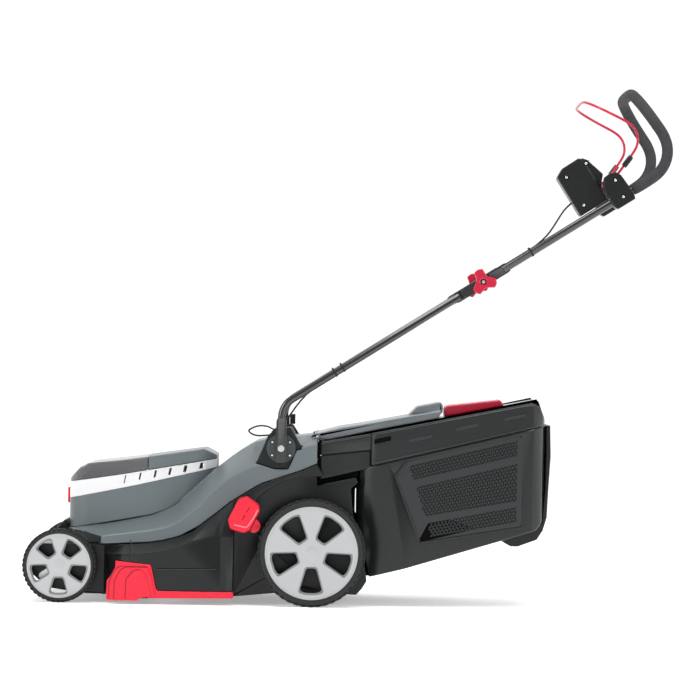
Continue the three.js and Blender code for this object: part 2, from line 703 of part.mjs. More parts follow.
function crankedAxle(pivot, wheel, track, armThick) {
  const reach = armInner + armThick;
  let axle = rod(axleRadius, -reach, reach, ...pivot);
  for (const [, side] of sides) {
    axle = join(
      axle,
      strap(pivot, wheel, 17, side * armInner, side * reach),
      rod(axleRadius, side * (armInner + 1), side * (track / 2 - 9), ...wheel),
    );
  }
  const pin = pinOf(pivot);
  return join(axle, strap(pivot, pin, 15, linkY, linkY + linkThick), rod(4, linkY + 1, linkY + 10, ...pin));
}

const rearHub = [rearAxleX, rearTyreRadius];
const frontHub = [frontAxleX, frontTyreRadius];
add("rear_axle", crankedAxle(rearPivot, rearHub, rearTrack, 5.6), "steel");
add("front_axle", crankedAxle(frontPivot, frontHub, frontTrack, 3.4), "steel");

function linkRod() {
  const [y0, y1] = [linkY + linkThick + gap, linkY + linkThick + gap + 4];
  const bar = strap(pinOf(frontPivot), pinOf(rearPivot), 14, y0, y1);
  // The front eye is a little larger, since the linkage is modelled open there.
  const [rearEye, frontEye] = [4 + play, 4.9];
  return cut(
    bar,
    rod(rearEye, y0 - 1, y1 + 1, ...pinOf(rearPivot)),
    rod(frontEye, y0 - 1, y1 + 1, ...pinOf(frontPivot)),
  );
}
add("link_rod", linkRod(), "steel");

const leverKnobThick = 16;
const leverWay = (r, turn = 0) => [
  rearPivot[0] + r * Math.cos(rad(137.7 + turn)), rearPivot[1] + r * Math.sin(rad(137.7 + turn)),
];
function heightLever() {
  const inner = armInner + 5.6 + gap;
  const knobOuter = rearTrack / 2 - 1;
  const knobInner = knobOuter - leverKnobThick;
  const plate = strap(rearPivot, leverWay(118), 24, -inner, -inner - 5);
  const step = strap(leverWay(112), leverWay(122), 28, -inner, -knobInner - 1);
  const shape = [
    [fromRear(-132), 224], [fromRear(-147), 220], [fromRear(-151), 217], [fromRear(-170), 178], [fromRear(-171), 173],
    [fromRear(-167), 158], [fromRear(-164), 155], [fromRear(-138), 148], [fromRear(-127), 153], [fromRear(-124), 157],
    [fromRear(-106), 193], [fromRear(-107), 205], [fromRear(-111), 210],
  ];
  const knob = join(
    sideways(grown(shape, -2), -knobOuter + 3, -knobOuter),
    sideways(shape, -knobInner, -knobOuter + 3),
  );
  return join(plate, step, knob);
}
add("height_lever", heightLever(), "red");

// ---------------------------------------------------------------- wheels
function tyre(side, half, width, radius, seat, x, z, around) {
  const profile = [[seat, 2], [radius - 3, 0], [radius, 4], [radius, width - 4], [radius - 3, width], [seat, width - 2]];
  return turned(profile.map(([r, t]) => [r, side * (half - t)]), around, x, z);
}

function rim(side, half, width, radius, windows, x, z, around) {
  const [near, far, nearHalf, farHalf] = windows;
  const hub = 17;
  const profile = [
    [axleRadius + play, 3], [radius - 9, 4], [radius - 6, 1], [radius, 1],
    [radius, width - 2], [radius - 5, width - 2], [radius - 5, 13], [hub, 13], [hub, width - 3],
    [axleRadius + play, width - 3],
  ];
  let wheel = turned(profile.map(([r, t]) => [r, side * (half - t)]), around, x, z);
  for (let k = 0; k < 5; k++) {
    const way = rad(-90 + 72 * k);
    const window = [
      [near, -nearHalf], [far - 4, -farHalf], [far, -farHalf + 7],
      [far, farHalf - 7], [far - 4, farHalf], [near, nearHalf],
    ];
    const outline = window.map(([r, w]) => [
      x + r * Math.cos(way) - w * Math.sin(way), z + r * Math.sin(way) + w * Math.cos(way),
    ]);
    wheel = cut(wheel, sideways(outline, side * (half - 16), side * (half + 5)));
  }
  return wheel;
}

for (const [name, side] of sides) {
  const rear = [side, rearTrack / 2, rearTyreWidth];
  const front = [side, frontTrack / 2, frontTyreWidth];
  add(`tyre_rear_${name}`, tyre(...rear, rearTyreRadius, rearRimRadius + gap, ...rearHub, 28), "rubber");
  add(`rim_rear_${name}`, rim(...rear, rearRimRadius, [30, rearRimRadius - rearRimBand, 9, 22], ...rearHub, 28), "silver");
  add(`tyre_front_${name}`, tyre(...front, frontTyreRadius, frontRimRadius + gap, ...frontHub, 24), "rubber");
  add(`rim_front_${name}`, rim(...front, frontRimRadius, [23, frontRimRadius - frontRimBand, 7, 15], ...frontHub, 24), "silver");
}

// ---------------------------------------------------------------- handle brackets and lower legs
const boltRadius = 4;
for (const [name, side] of sides) {
  const hole = rod(boltRadius + gap, side * 140, side * 260, pivotX, pivotZ);
  add(`bracket_${name}`, cut(sideways(bracketOutline, side * bracketInner, side * bracketOuter), hole), "black");
  const disc = rod(discRadius, side * discInner, side * discOuter, pivotX, pivotZ, 28);
  add(`pivot_disc_${name}`, cut(disc, hole), "darkGrey");
  const legOuter = lowerLegY + flatThick / 2;
  add(`pivot_bolt_${name}`, join(
    rod(boltRadius, side * bracketInner, side * (legOuter + 1), pivotX, pivotZ),
    rod(6.5, side * (legOuter + gap), side * (legOuter + 4), pivotX, pivotZ),
  ), "steel");
}
add("handle_stop", block(
  pivotX + flatWidth / 2 + 1, pivotX + 23, discInner, discOuter + 4, pivotZ + 42.6, pivotZ + 64,
), "black");

// A point s beyond the star knob along the handle and p above it.
const onHandle = (s, p) => [knobX + s * slope.x - p * slope.z, knobZ + s * slope.z + p * slope.x];
const onHandle3 = (s, p, y) => {
  const [x, z] = onHandle(s, p);
  return vec(x, y, z);
};

const kneeRadius = 45;
const kneeY = (y) => vec(pivotX, y, kneeZ);
for (const [name, side] of sides) {
  const y = side * lowerLegY;
  const [y0, y1] = [side * (lowerLegY - flatThick / 2), side * (lowerLegY + flatThick / 2)];
  const route = rounded([vec(pivotX, y, pivotZ + 52), kneeY(y), onHandle3(-56, 0, y)], [0, kneeRadius], 6);
  const foot = [
    [pivotX - flatWidth / 2, pivotZ - 26], [pivotX - flatWidth / 2 + 3, pivotZ - 29], [pivotX + flatWidth / 2 - 3, pivotZ - 29],
    [pivotX + flatWidth / 2, pivotZ - 26], [pivotX + flatWidth / 2, pivotZ + 57], [pivotX + 7, pivotZ + 62],
    [pivotX - 7, pivotZ + 62], [pivotX - flatWidth / 2, pivotZ + 57],
  ];
  const flat = strap(onHandle(-62, 0), onHandle(14, 0), flatWidth, y0, y1);
  let leg = join(tube(route, handleTube, 12), sideways(foot, y0, y1), flat);
  leg = cut(
    leg,
    rod(boltRadius + play, side * 170, side * 200, pivotX, pivotZ),
    rod(boltRadius + gap, side * 170, side * 200, ...onHandle(0, 0)),
  );
  add(`lower_leg_${name}`, leg, "tube");
  const boltHead = lowerLegY - flatThick / 2 - gap;
  add(`knob_bolt_${name}`, join(
    rod(8, side * (boltHead - 2.6), side * boltHead, ...onHandle(0, 0)),
    rod(boltRadius, side * (boltHead - 1), side * 211, ...onHandle(0, 0)),
  ), "steel");
}

// ---------------------------------------------------------------- upper handle
const gripWay = vec(-Math.cos(rad(gripLean)), 0, Math.sin(rad(gripLean)));
const gripCorner = (y) => onHandle3(upperBeyondKnob, 0, y);
const gripTop = (y) => gripCorner(y).addScaledVector(gripWay, gripRise);
const cornerRadius = 64;
const topRadius = 95;

// The U of the upper handle from s beyond the knob on one side to s on the other.
function handleRoute(s) {
  const u = upperLegY;
  const points = [onHandle3(s, 0, -u), gripCorner(-u), gripTop(-u), gripTop(u), gripCorner(u), onHandle3(s, 0, u)];
  return rounded(points, [0, cornerRadius, topRadius, topRadius, cornerRadius], 5);
}

function upperHandle() {
  let handle = tube(handleRoute(48), handleTube, 10);
  for (const [, side] of sides) {
    const [y0, y1] = [side * (upperLegY - flatThick / 2), side * (upperLegY + flatThick / 2)];
    handle = join(handle, strap(onHandle(-40, 0), onHandle(54, 0), flatWidth, y0, y1));
    handle = cut(handle, rod(boltRadius + play, side * 170, side * 220, ...onHandle(0, 0)));
  }
  return handle;
}
add("upper_handle", upperHandle(), "tube");
const clampEnd = 355;
add("grip", tube(handleRoute(clampEnd + 2), gripRadius, 10, handleTube + gap + 0.3), "foam");

for (const [name, side] of sides) {
  const lobes = Array.from({ length: 30 }, (_, i) => {
    const angle = (2 * Math.PI * i) / 30;
    const r = 21.5 + 7 * Math.cos(3 * (angle + rad(4)));
    return [knobX + r * Math.cos(angle), knobZ + r * Math.sin(angle)];
  });
  const inner = upperLegY + flatThick / 2 + 1;
  const star = sideways(lobes, side * inner, side * (inner + 20));
  const hole = rod(boltRadius + play, side * (inner - 1), side * (inner + 25), ...onHandle(0, 0));
  const recess = rod(8, side * (inner + 12), side * (inner + 25), ...onHandle(0, 0));
  add(`star_knob_${name}`, cut(star, hole, recess), "crimson");
}

const clampOutline = [
  [306, 31], [307, -12], [311, -17.5], [352, -17.5], [clampEnd, -6], [clampEnd - 1, 12], [clampEnd - 3, 39],
  [346, 50], [334, 54], [322, 53], [314, 45],
];
const clampInner = 178;
const clampOuter = 212;
const bailPivot = onHandle(337, 39);
for (const [name, side] of sides) {
  const outline = clampOutline.map(([s, p]) => onHandle(s, p));
  const bore = [280, 380].map((s) => onHandle3(s, 0, side * upperLegY));
  const tubeHole = tube(bore, handleTube + gap, 16);
  const pinHole = rod(bailRadius + play, side * (clampInner - 1), side * 197, ...bailPivot);
  add(`handle_clamp_${name}`, cut(sideways(outline, side * clampInner, side * clampOuter), tubeHole, pinHole), "black");
}

// ---------------------------------------------------------------- switch box
const switchOuter = upperLegY - handleTube - 0.5;
const switchInner = 128;
const buttonAt = onHandle(276, 66);
function switchBox() {
  const outline = [
    [240, 10], [240, 103], [259, 113], [298, 114], [312, 103], [325, 60], [312.5, 46], [304.5, 32], [304.5, 10],
  ].map(([s, p]) => onHandle(s, p));
  const housing = join(
    sideways(outline, -switchInner - 3, -clampInner + play),
    sideways(grown(outline, -3), -switchInner, -switchInner - 4),
    sideways(outline.slice(0, 4).concat([onHandle(304.5, 106), onHandle(304.5, 10)]), -clampInner + 2, -switchOuter),
  );
  return cut(housing, rod(9 + play, -switchInner + 1, -switchInner - 14, ...buttonAt, 16));
}
add("switch_box", switchBox(), "black");
add("start_button", rod(9, -switchInner + 5, -switchInner - 9, ...buttonAt, 16), "crimson");

// ---------------------------------------------------------------- bail
const bailArm = 120;
const bailArmAngle = 54;
const bailReach = 148;
const bailReachAngle = 153.5;
const bailY = 170;
const bailWay = (angle) => vec(Math.cos(rad(angle)), 0, Math.sin(rad(angle)));

function bail() {
  const foot = (y) => vec(bailPivot[0], y, bailPivot[1]);
  const knee = (y) => foot(y).addScaledVector(bailWay(bailArmAngle), bailArm);
  const top = (y) => knee(y).addScaledVector(bailWay(bailReachAngle), bailReach);
  const half = [-193, -bailY].map(foot).concat([knee(-bailY), top(-bailY)]);
  const whole = [...half, top(bailY), knee(bailY), foot(bailY), foot(193)];
  return tube(rounded(whole, [0, 9, 41, 72, 72, 41, 9], 4), bailRadius, 8);
}
add("bail", bail(), "crimson");

// ---------------------------------------------------------------- cable from the switch box to the deck
const cableY = -171.7;
const cableGap = gap / 2;

const cableUpper = [
  onHandle3(239, 43, -158), onHandle3(219, 38.4, -166), onHandle3(196, 28, -176), onHandle3(170, 16, -182),
  onHandle3(148, 9.8, -183), onHandle3(120, 6, -180), onHandle3(90, 2, -176.5), onHandle3(60, 0, -173),
  onHandle3(30, 0, cableY), onHandle3(cableGap, 0, cableY),
];
const slackStart = vec(pivotX + 13, cableY + 1.5, pivotZ + 62);
const cableLower = [
  onHandle3(-cableGap, 0, cableY), onHandle3(-60, 0, cableY), onHandle3(-160, -1, cableY), onHandle3(-260, -2, cableY),
  onHandle3(-360, -2, cableY), onHandle3(-400, -5, cableY), vec(pivotX + 49, cableY, pivotZ + 110),
  vec(pivotX + 29, cableY + 0.5, pivotZ + 86), slackStart,
];
const cableSlack = [
  vec(slackStart.x - 0.4, slackStart.y, slackStart.z - 0.6), vec(pivotX - 3, -166, pivotZ + 49.5),
  vec(pivotX - 14, -160, pivotZ + 38), vec(pivotX - 27, -157, pivotZ + 43.5), vec(pivotX - 40, -156, pivotZ + 45.4),
  vec(pivotX - 54, -153, pivotZ + 43), vec(pivotX - 66, -147, pivotZ + 36.5), vec(pivotX - 67, -141, pivotZ + 32.5),
  vec(pivotX - 60, -137, pivotZ + 27), vec(pivotX - 45, -134, pivotZ + 24), vec(pivotX - 28, -132, pivotZ + 25.5),
  vec(pivotX - 16, -131, pivotZ + 22), vec(pivotX - 12, -131, pivotZ + 13),
];
function smooth(points, perSpan) {
  return new THREE.CatmullRomCurve3(points, false, "centripetal").getPoints((points.length - 1) * perSpan);
}
add("cable_upper", tube(smooth(cableUpper, 2), cableRadius, 8), "black");
add("cable_lower", tube(smooth(cableLower, 2), cableRadius, 8), "black");
add("cable_slack", tube(smooth(cableSlack, 2), cableRadius, 8), "black");

// ---------------------------------------------------------------- grass box
const boxFront = fromRear(86.5);
const lidFront = fromRear(118);
const boxBack = fromRear(478);
const boxFloor = [[lidFront, 60], [fromRear(192), 79], [fromRear(386), 139], [fromRear(459), 161]];
const boxRear = [[fromRear(472), 178], [fromRear(477), 240], [boxBack, 310], [fromRear(476), 376]];
const ledge = [[lidFront, 287], [fromRear(476), 376]];
// The front of the box follows the deck's tail, and steps back under the tail's lip.
const boxNose = [[fromRear(95.5), 279], [fromRear(95.5), 250], [boxFront, 238], [boxFront, 186]];
const neckFront = fromRear(14);
const neckFloor = [[lidFront, 283.2], [fromRear(92), 276.5], [fromRear(45), 264], [neckFront, 257]];
const neckSeam = [[neckFront, 307], [lidFront, 319]];
const crownLine = [[neckFront, 334], [lidFront, 357], [fromRear(461), 427]];

function boxPlan(inset, wide = boxHalfWidth) {
  const w = wide - inset;
  const half = [
    [boxFront + inset, w - 44], [boxFront + 6 + inset, w - 30], [boxFront + 20 + inset / 2, w - 14],
    [boxFront + 42, w - 4], [boxFront + 66, w], [boxBack - 62, w], [boxBack - 28 - inset / 2, w - 8],
    [boxBack - 10 - inset, w - 26], [boxBack - 3 - inset, w - 56], [boxBack - inset, w - 110],
  ];
  return [...half, ...half.slice().reverse().map(([x, y]) => [x, -y])];
}

function basket() {
  const outline = [...boxFloor, ...boxRear, ledge[0], ...boxNose];
  const main = sideways(outline, -200, 200).intersect(upright(boxPlan(0), 0, 600));
  const top = [[fromRear(474), 430], [lidFront, 430], ledge[0]];
  const room = grown([...boxFloor, ...boxRear.slice(0, 3), ...top, ...boxNose], -boxWall);
  const inside = sideways(room, -200, 200).intersect(upright(boxPlan(boxWall), 0, 600));
  const neckOutline = [...neckFloor, ...neckSeam].map(([x, z]) => [Math.min(x, lidFront - gap), z]);
  const neckRoom = [...raised(neckFloor, boxWall), [neckFront - 5, 257], [neckFront - 5, 400], [lidFront + 1, 400]];
  const neck = cut(
    sideways(neckOutline, -boxNeckHalfWidth, boxNeckHalfWidth),
    sideways(neckRoom, -boxNeckHalfWidth + boxWall, boxNeckHalfWidth - boxWall),
  );
  const tongue = sideways(
    [[lidFront - 5, 282], [lidFront + 2.5, 283.8], [lidFront + 2.5, 286.8], [lidFront - 5, 285]],
    -boxNeckHalfWidth, boxNeckHalfWidth,
  );
  const mouth = block(boxFront - 1, boxFront + 20, -chuteHalfWidth, chuteHalfWidth, 112, 275);
  const panel = [[fromRear(168), 268], [fromRear(221), 135], [fromRear(426), 170], [fromRear(424), 348]];
  let whole = join(main, neck, tongue);
  whole = cut(whole, inside, mouth);
  for (const [, side] of sides) {
    whole = cut(whole, sideways(panel, side * (boxHalfWidth - 1.2), side * 200));
  }
  return whole;
}
add("basket", basket(), "darkGrey");

function boxLid() {
  const seam = raised(ledge, gap);
  const rearTop = [[fromRear(475), 388], [fromRear(471), 399], [fromRear(463), 413], [fromRear(450), 420]];
  const outline = [...seam, ...rearTop, [lidFront, 351], [lidFront, 300]];
  const neck = (w, drop, lift) => sideways([
    [neckFront, along(neckSeam, neckFront) + lift], [lidFront, along(neckSeam, lidFront) + lift],
    [lidFront + 6, 288 + lift], [lidFront + 6, 352 - drop], [neckFront, 332 - drop],
  ], -w, w);
  const plan = upright(boxPlan(0), 0, 600);
  const crown = sideways([...crownLine, [fromRear(470), 400], [neckFront, 312]], -flapHalfWidth, flapHalfWidth)
    .intersect(join(plan, block(neckFront, lidFront + 10, -flapHalfWidth, flapHalfWidth, 300, 400)));
  const collar = cut(neck(boxNeckHalfWidth, 0, gap), block(lidFront, lidFront + 10, -200, 200, 200, 300));
  const outer = join(sideways(outline, -200, 200).intersect(plan), collar, crown);
  const roomOutline = [
    [lidFront + 3, 250], [fromRear(472), 330], ...raised(rearTop, -boxWall), [lidFront + 3, 348],
  ];
  const room = sideways(roomOutline.map(([x, z]) => [x - (x > fromRear(400) ? 3 : 0), z]), -200, 200)
    .intersect(upright(boxPlan(boxWall), 0, 600));
  const throat = boxNeckHalfWidth - boxWall;
  const way = block(neckFront - 5, lidFront + 20, -throat, throat, 200, 322);
  return cut(outer, room, neck(throat, boxWall, -30), way);
}
add("box_lid", boxLid(), "darkGrey");

function boxHandle() {
  const at = (dx) => along(crownLine, fromRear(dx)) + gap;
  const outline = [
    [fromRear(270), at(270)], [fromRear(393), at(393)], [fromRear(387), at(387) + 12],
    [fromRear(384), at(384) + 14], [fromRear(274), at(274) + 23], [fromRear(270), at(270) + 18],
  ];
  // The fingers go in from the rear, under the bar.
  const tunnel = [
    [fromRear(278), at(278) - 5], [fromRear(420), at(420) - 5], [fromRear(420), at(384) + 9],
    [fromRear(384), at(384) + 9], [fromRear(284), at(274) + 17], [fromRear(278), at(274) + 11],
  ];
  return cut(sideways(outline, -62, 62), sideways(tunnel, -50, 50));
}
add("box_handle", boxHandle(), "crimson");

add("box_rear_panel", sideways([
  [fromRear(398), 131], [fromRear(409), 125], [fromRear(424), 125], [fromRear(463), 139.5], [fromRear(475), 158.5],
  [fromRear(483), 186], [fromRear(485), 238], [fromRear(489), 312], [fromRear(487), 376], [fromRear(478), 376],
  [boxBack + 0.7, 310], [fromRear(477.8), 240], [fromRear(472.9), 177.4], [fromRear(459.6), 159.8],
  [fromRear(387), 137.8],
], -108, 108), "black");

// ---------------------------------------------------------------- rear flap
function rearFlap() {
  const under = (dx, lift) => [fromRear(dx), along(crownLine, fromRear(dx)) + lift];
  const panel = [
    [flapHinge[0] - 4, 350.5], [fromRear(53), 364], [fromRear(105), 373], [fromRear(168), 385], [fromRear(199), 391],
    [fromRear(262), 402], [fromRear(262), 398], under(255, 1.2), under(120, 1.2), under(30, 1.2), [flapHinge[0] + 2, 339],
  ];
  const grip = [
    [fromRear(192), 388], [fromRear(213), 409.5], [fromRear(262), 419.5], [fromRear(266), 413], [fromRear(267), 404],
    [fromRear(262), 396],
  ];
  const barrel = rod(7, -flapHalfWidth + play, flapHalfWidth - play, ...flapHinge, 16);
  const flap = join(sideways(panel, -flapHalfWidth + play, flapHalfWidth - play), barrel, sideways(grip, -56, 56));
  return cut(flap, rod(3 + play, -200, 200, ...flapHinge));
}
add("rear_flap", rearFlap(), "paleGrey");
add("flap_rod", rod(3, -flapHalfWidth - 9, flapHalfWidth + 9, ...flapHinge), "steel");

export default mower;
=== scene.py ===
# A battery push lawn mower for a family garden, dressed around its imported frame. Metres, +Z up. It drives
# towards -X, the handle trails towards +X, and the operator's left hand is towards -Y.
import json
import math

import bmesh
import bpy
from mathutils import Matrix, Vector


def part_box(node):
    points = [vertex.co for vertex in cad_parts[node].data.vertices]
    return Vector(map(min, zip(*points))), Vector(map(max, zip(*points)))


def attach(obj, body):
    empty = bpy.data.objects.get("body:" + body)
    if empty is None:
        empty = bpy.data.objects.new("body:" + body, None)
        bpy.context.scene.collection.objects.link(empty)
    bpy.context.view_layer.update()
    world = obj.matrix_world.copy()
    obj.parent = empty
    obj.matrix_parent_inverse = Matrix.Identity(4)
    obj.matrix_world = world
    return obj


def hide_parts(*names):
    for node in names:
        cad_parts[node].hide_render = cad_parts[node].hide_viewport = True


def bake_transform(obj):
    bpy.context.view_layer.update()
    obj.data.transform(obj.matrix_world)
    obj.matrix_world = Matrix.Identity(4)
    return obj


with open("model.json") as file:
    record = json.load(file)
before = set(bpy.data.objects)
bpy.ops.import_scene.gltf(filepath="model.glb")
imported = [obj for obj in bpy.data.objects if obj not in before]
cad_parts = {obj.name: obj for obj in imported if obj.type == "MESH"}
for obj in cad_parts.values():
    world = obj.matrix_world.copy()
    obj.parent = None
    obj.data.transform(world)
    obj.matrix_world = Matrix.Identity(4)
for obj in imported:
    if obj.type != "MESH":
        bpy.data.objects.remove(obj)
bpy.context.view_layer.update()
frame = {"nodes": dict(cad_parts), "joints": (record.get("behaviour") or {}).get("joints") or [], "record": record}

# ---------------------------------------------------------------- the view
# A long lens stands seven metres to the machine's left, low and level, turned one degree.
LEFT_FACE = -0.22
VIEW_DISTANCE = 7.0
VIEW_HEIGHT = 0.5284
VIEW_TURN = math.radians(1)

camera = bpy.data.objects.new("camera", bpy.data.cameras.new("camera"))
camera.data.sensor_width = 36
camera.data.lens = 178.4
camera.data.clip_end = 60
across = Vector((math.cos(VIEW_TURN), 0, math.sin(VIEW_TURN)))
back = Vector((0, -1, 0))
turned = Matrix((across, back.cross(across), back)).transposed().to_4x4()
camera.matrix_world = Matrix.Translation((0, LEFT_FACE - VIEW_DISTANCE, VIEW_HEIGHT)) @ turned
bpy.context.scene.collection.objects.link(camera)
bpy.context.scene.camera = camera
bpy.context.scene.view_settings.view_transform = "Standard"


# ---------------------------------------------------------------- shader words
# A finish is one principled shader, and a wire is one of its sockets, which adds Math nodes as it is
# used in an expression. The floor is the first to need them.
class Wire:
    def __init__(self, owner, socket):
        self.owner = owner
        self.socket = socket

    def math(self, operation, *values):
        return self.owner.node("ShaderNodeMath", {"operation": operation}, dict(enumerate(values)))

    def __add__(self, other):
        return self.math("ADD", self, other)

    def __sub__(self, other):
        return self.math("SUBTRACT", self, other)

    def __rsub__(self, other):
        return self.math("SUBTRACT", other, self)

    def __mul__(self, other):
        return self.math("MULTIPLY", self, other)

    __radd__ = __add__
    __rmul__ = __mul__


class Nodes:
    """The nodes of a finish or of the sky."""

    def __init__(self, tree):
        self.tree = tree

    def join(self, node, values):
        for key, value in values.items():
            socket = node.inputs[key]
            if isinstance(value, Wire):
                self.tree.links.new(value.socket, socket)
            else:
                socket.default_value = value

    def node(self, kind, settings=None, values=None, output=0):
        made = self.tree.nodes.new(kind)
        for key, value in (settings or {}).items():
            setattr(made, key, value)
        self.join(made, values or {})
        return Wire(self, made.outputs[output])


class Paint(Nodes):
    """A finish: one principled shader and what varies over it."""

    def __init__(self, name, **constants):
        self.material = bpy.data.materials.new(name)
        self.material.use_nodes = True
        super().__init__(self.material.node_tree)
        self.shader = self.tree.nodes["Principled BSDF"]
        self.vary(**constants)
        self.place = self.node("ShaderNodeTexCoord", output="Object")

    def noise(self, scale, detail=2.0, stretch=(1, 1, 1)):
        place = self.node("ShaderNodeMapping", {}, {"Vector": self.place, "Scale": stretch})
        return self.node("ShaderNodeTexNoise", {}, {"Vector": place, "Scale": scale, "Detail": detail})

    def blend(self, share, first, second):
        values = {0: share, 6: (*first, 1), 7: (*second, 1)}
        return self.node("ShaderNodeMix", {"data_type": "RGBA"}, values, output=2)

    def vary(self, **wires):
        self.join(self.shader, {key.replace("_", " "): value for key, value in wires.items()})

    def bump(self, height, strength, distance=0.0004):
        values = {"Height": height, "Strength": strength, "Distance": distance}
        self.vary(Normal=self.node("ShaderNodeBump", {}, values))


def shade(colour, factor):
    return tuple(min(1.0, channel * factor) for channel in colour)


# ---------------------------------------------------------------- floor and light
# A plain pale floor under a white sky, with three big soft boxes: one overhead and one at each end.
floor_paint = Paint("floor", Roughness=0.8, Emission_Color=(1, 1, 1, 1), Emission_Strength=0.35)
floor_tone = floor_paint.noise(3)
floor_paint.vary(Base_Color=floor_paint.blend(floor_tone, (0.93, 0.93, 0.93), (0.95, 0.95, 0.95)))
floor_mesh = bpy.data.meshes.new("floor")
FLOOR = 300.0
corners = [(-FLOOR, -FLOOR, 0), (FLOOR, -FLOOR, 0), (FLOOR, FLOOR, 0), (-FLOOR, FLOOR, 0)]
floor_mesh.from_pydata(corners, [], [(0, 1, 2, 3)])
floor_mesh.materials.append(floor_paint.material)
floor = bpy.data.objects.new("floor", floor_mesh)
bpy.context.scene.collection.objects.link(floor)

# The room is dim behind the near side and bright above and beyond, and is seen as plain white.
sky = bpy.data.worlds.new("sky")
sky.use_nodes = True
room = Nodes(sky.node_tree)
towards = room.node("ShaderNodeTexCoord", output="Generated")
beyond = room.node("ShaderNodeSeparateXYZ", {}, {0: towards}, output="Y")
strength = room.node("ShaderNodeMapRange", {}, {
    "Value": beyond, "From Min": -0.9, "From Max": 0.9, "To Min": 0.3, "To Max": 1.25,
})
seen = room.node("ShaderNodeLightPath", output="Is Camera Ray")
level = room.node("ShaderNodeMix", {}, {0: seen, 2: strength, 3: 1.05})
room.join(sky.node_tree.nodes["Background"], {"Strength": level, "Color": (1, 1, 1, 1)})
bpy.context.scene.world = sky


def soft_box(name, place, aim, width, height, power):
    light = bpy.data.objects.new(name, bpy.data.lights.new(name, "AREA"))
    light.data.shape = "RECTANGLE"
    light.data.size = width
    light.data.size_y = height
    light.data.energy = power
    light.location = place
    light.rotation_euler = (Vector(aim) - Vector(place)).to_track_quat("-Z", "Y").to_euler()
    bpy.context.scene.collection.objects.link(light)


soft_box("overhead", (0, -0.8, 3.2), (0, 0, 0.3), 3.0, 1.6, 85)
soft_box("front_end", (-3.4, -2.2, 1.7), (-0.3, 0, 0.3), 0.9, 2.4, 70)
soft_box("rear_end", (3.2, -2.4, 1.6), (0.2, 0, 0.4), 0.8, 2.4, 60)

# ---------------------------------------------------------------- deck
# The deck is one black polypropylene moulding: nose, blade chamber, side bulges, wheel arches and the
# tail that the grass box hangs on. Its edges are eased as a mould leaves them.
record = frame["record"]
joints = {joint["name"]: joint for joint in frame["joints"]}
body_of = {node: body for body, nodes in record["behaviour"]["bodies"].items() for node in nodes}
slot_of = {part["node"]: part["material_slot"] for part in record["subparts"]}
SIDES = (("left", -1), ("right", 1))
FRONT_X, _, FRONT_Z = joints["wheel_front_left_spin"]["pos_m"]
REAR_X, _, REAR_Z = joints["wheel_rear_left_spin"]["pos_m"]


def moulded(name, colour, roughness, mottle=0.06, grain=0.25, **constants):
    paint = Paint(name, **constants)
    broad = paint.noise(7, 3)
    fine = paint.noise(1500, 2)
    paint.vary(
        Base_Color=paint.blend(broad, shade(colour, 1 - mottle), shade(colour, 1 + mottle)),
        Roughness=roughness + (broad - 0.5) * 0.16 + (fine - 0.5) * 0.08,
    )
    paint.bump(fine + paint.noise(160, 2) * 0.6, grain, 0.00012)
    return paint


def show(made, body, paint, slot, *replaced):
    """Puts a piece in the scene, on its body, in its finish."""
    if not made.users_collection:
        bpy.context.scene.collection.objects.link(made)
    made.data.materials.clear()
    made.data.materials.append(paint.material)
    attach(made, body)
    if replaced:
        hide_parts(*replaced)
    return made


def smooth(mesh, angle):
    mesh.polygons.foreach_set("use_smooth", [True] * len(mesh.polygons))
    mesh.set_sharp_from_angle(angle=math.radians(angle))


def ease(made, width, angle=32, segments=2):
    """Rounds a piece's sharp edges."""
    bevel = made.modifiers.new("eased_edges", "BEVEL")
    bevel.width = width
    bevel.segments = segments
    bevel.limit_method = "ANGLE"
    bevel.angle_limit = math.radians(angle)
    bevel.use_clamp_overlap = False
    bevel.miter_outer = "MITER_ARC"
    bevel.harden_normals = True
    return made


def eased(node, width, paint, angle=32, segments=2):
    """A copy of a frame part with flats merged and edges rounded, which stands for it."""
    mesh = frame["nodes"][node].data.copy()
    form = bmesh.new()
    form.from_mesh(mesh)
    bmesh.ops.remove_doubles(form, verts=form.verts, dist=2e-5)
    bmesh.ops.dissolve_limit(form, angle_limit=math.radians(0.6), verts=form.verts, edges=form.edges)
    bmesh.ops.recalc_face_normals(form, faces=form.faces)
    form.to_mesh(mesh)
    form.free()
    smooth(mesh, angle)
    made = bpy.data.objects.new(node + "_skin", mesh)
    show(made, body_of[node], paint, slot_of[node], node)
    return ease(made, width, angle, segments)


def plate(name, outlines, near, far, body, paint, slot, soften=0.0006):
    """A flat moulding cut from (x, z) outlines, the later ones being holes, from one y to another."""
    curve = bpy.data.curves.new(name, "CURVE")
    curve.dimensions = "2D"
    curve.fill_mode = "BOTH"
    curve.extrude = max(0.00005, abs(far - near) / 2 - soften)
    curve.bevel_depth = soften
    curve.bevel_resolution = 1
    curve.offset = -soften
    for outline in outlines:
        spline = curve.splines.new("POLY")
        spline.points.add(len(outline) - 1)
        for point, (x, z) in zip(spline.points, outline):
            point.co = (x, z, 0, 1)
        spline.use_cyclic_u = True
    drawn = bpy.data.objects.new(name, curve)
    bpy.context.scene.collection.objects.link(drawn)
    drawn.matrix_world = Matrix.Translation((0, (near + far) / 2, 0)) @ Matrix.Rotation(math.pi / 2, 4, "X")
    bpy.context.view_layer.update()
    mesh = bpy.data.meshes.new_from_object(drawn.evaluated_get(bpy.context.evaluated_depsgraph_get()))
    mesh.transform(drawn.matrix_world)
    bpy.data.objects.remove(drawn)
    smooth(mesh, 30)
    return show(bpy.data.objects.new(name, mesh), body, paint, slot)


def disc_outline(centre, radius, steps=24):
    turns = [2 * math.pi * step / steps for step in range(steps)]
    return [(centre[0] + radius * math.cos(turn), centre[1] + radius * math.sin(turn)) for turn in turns]


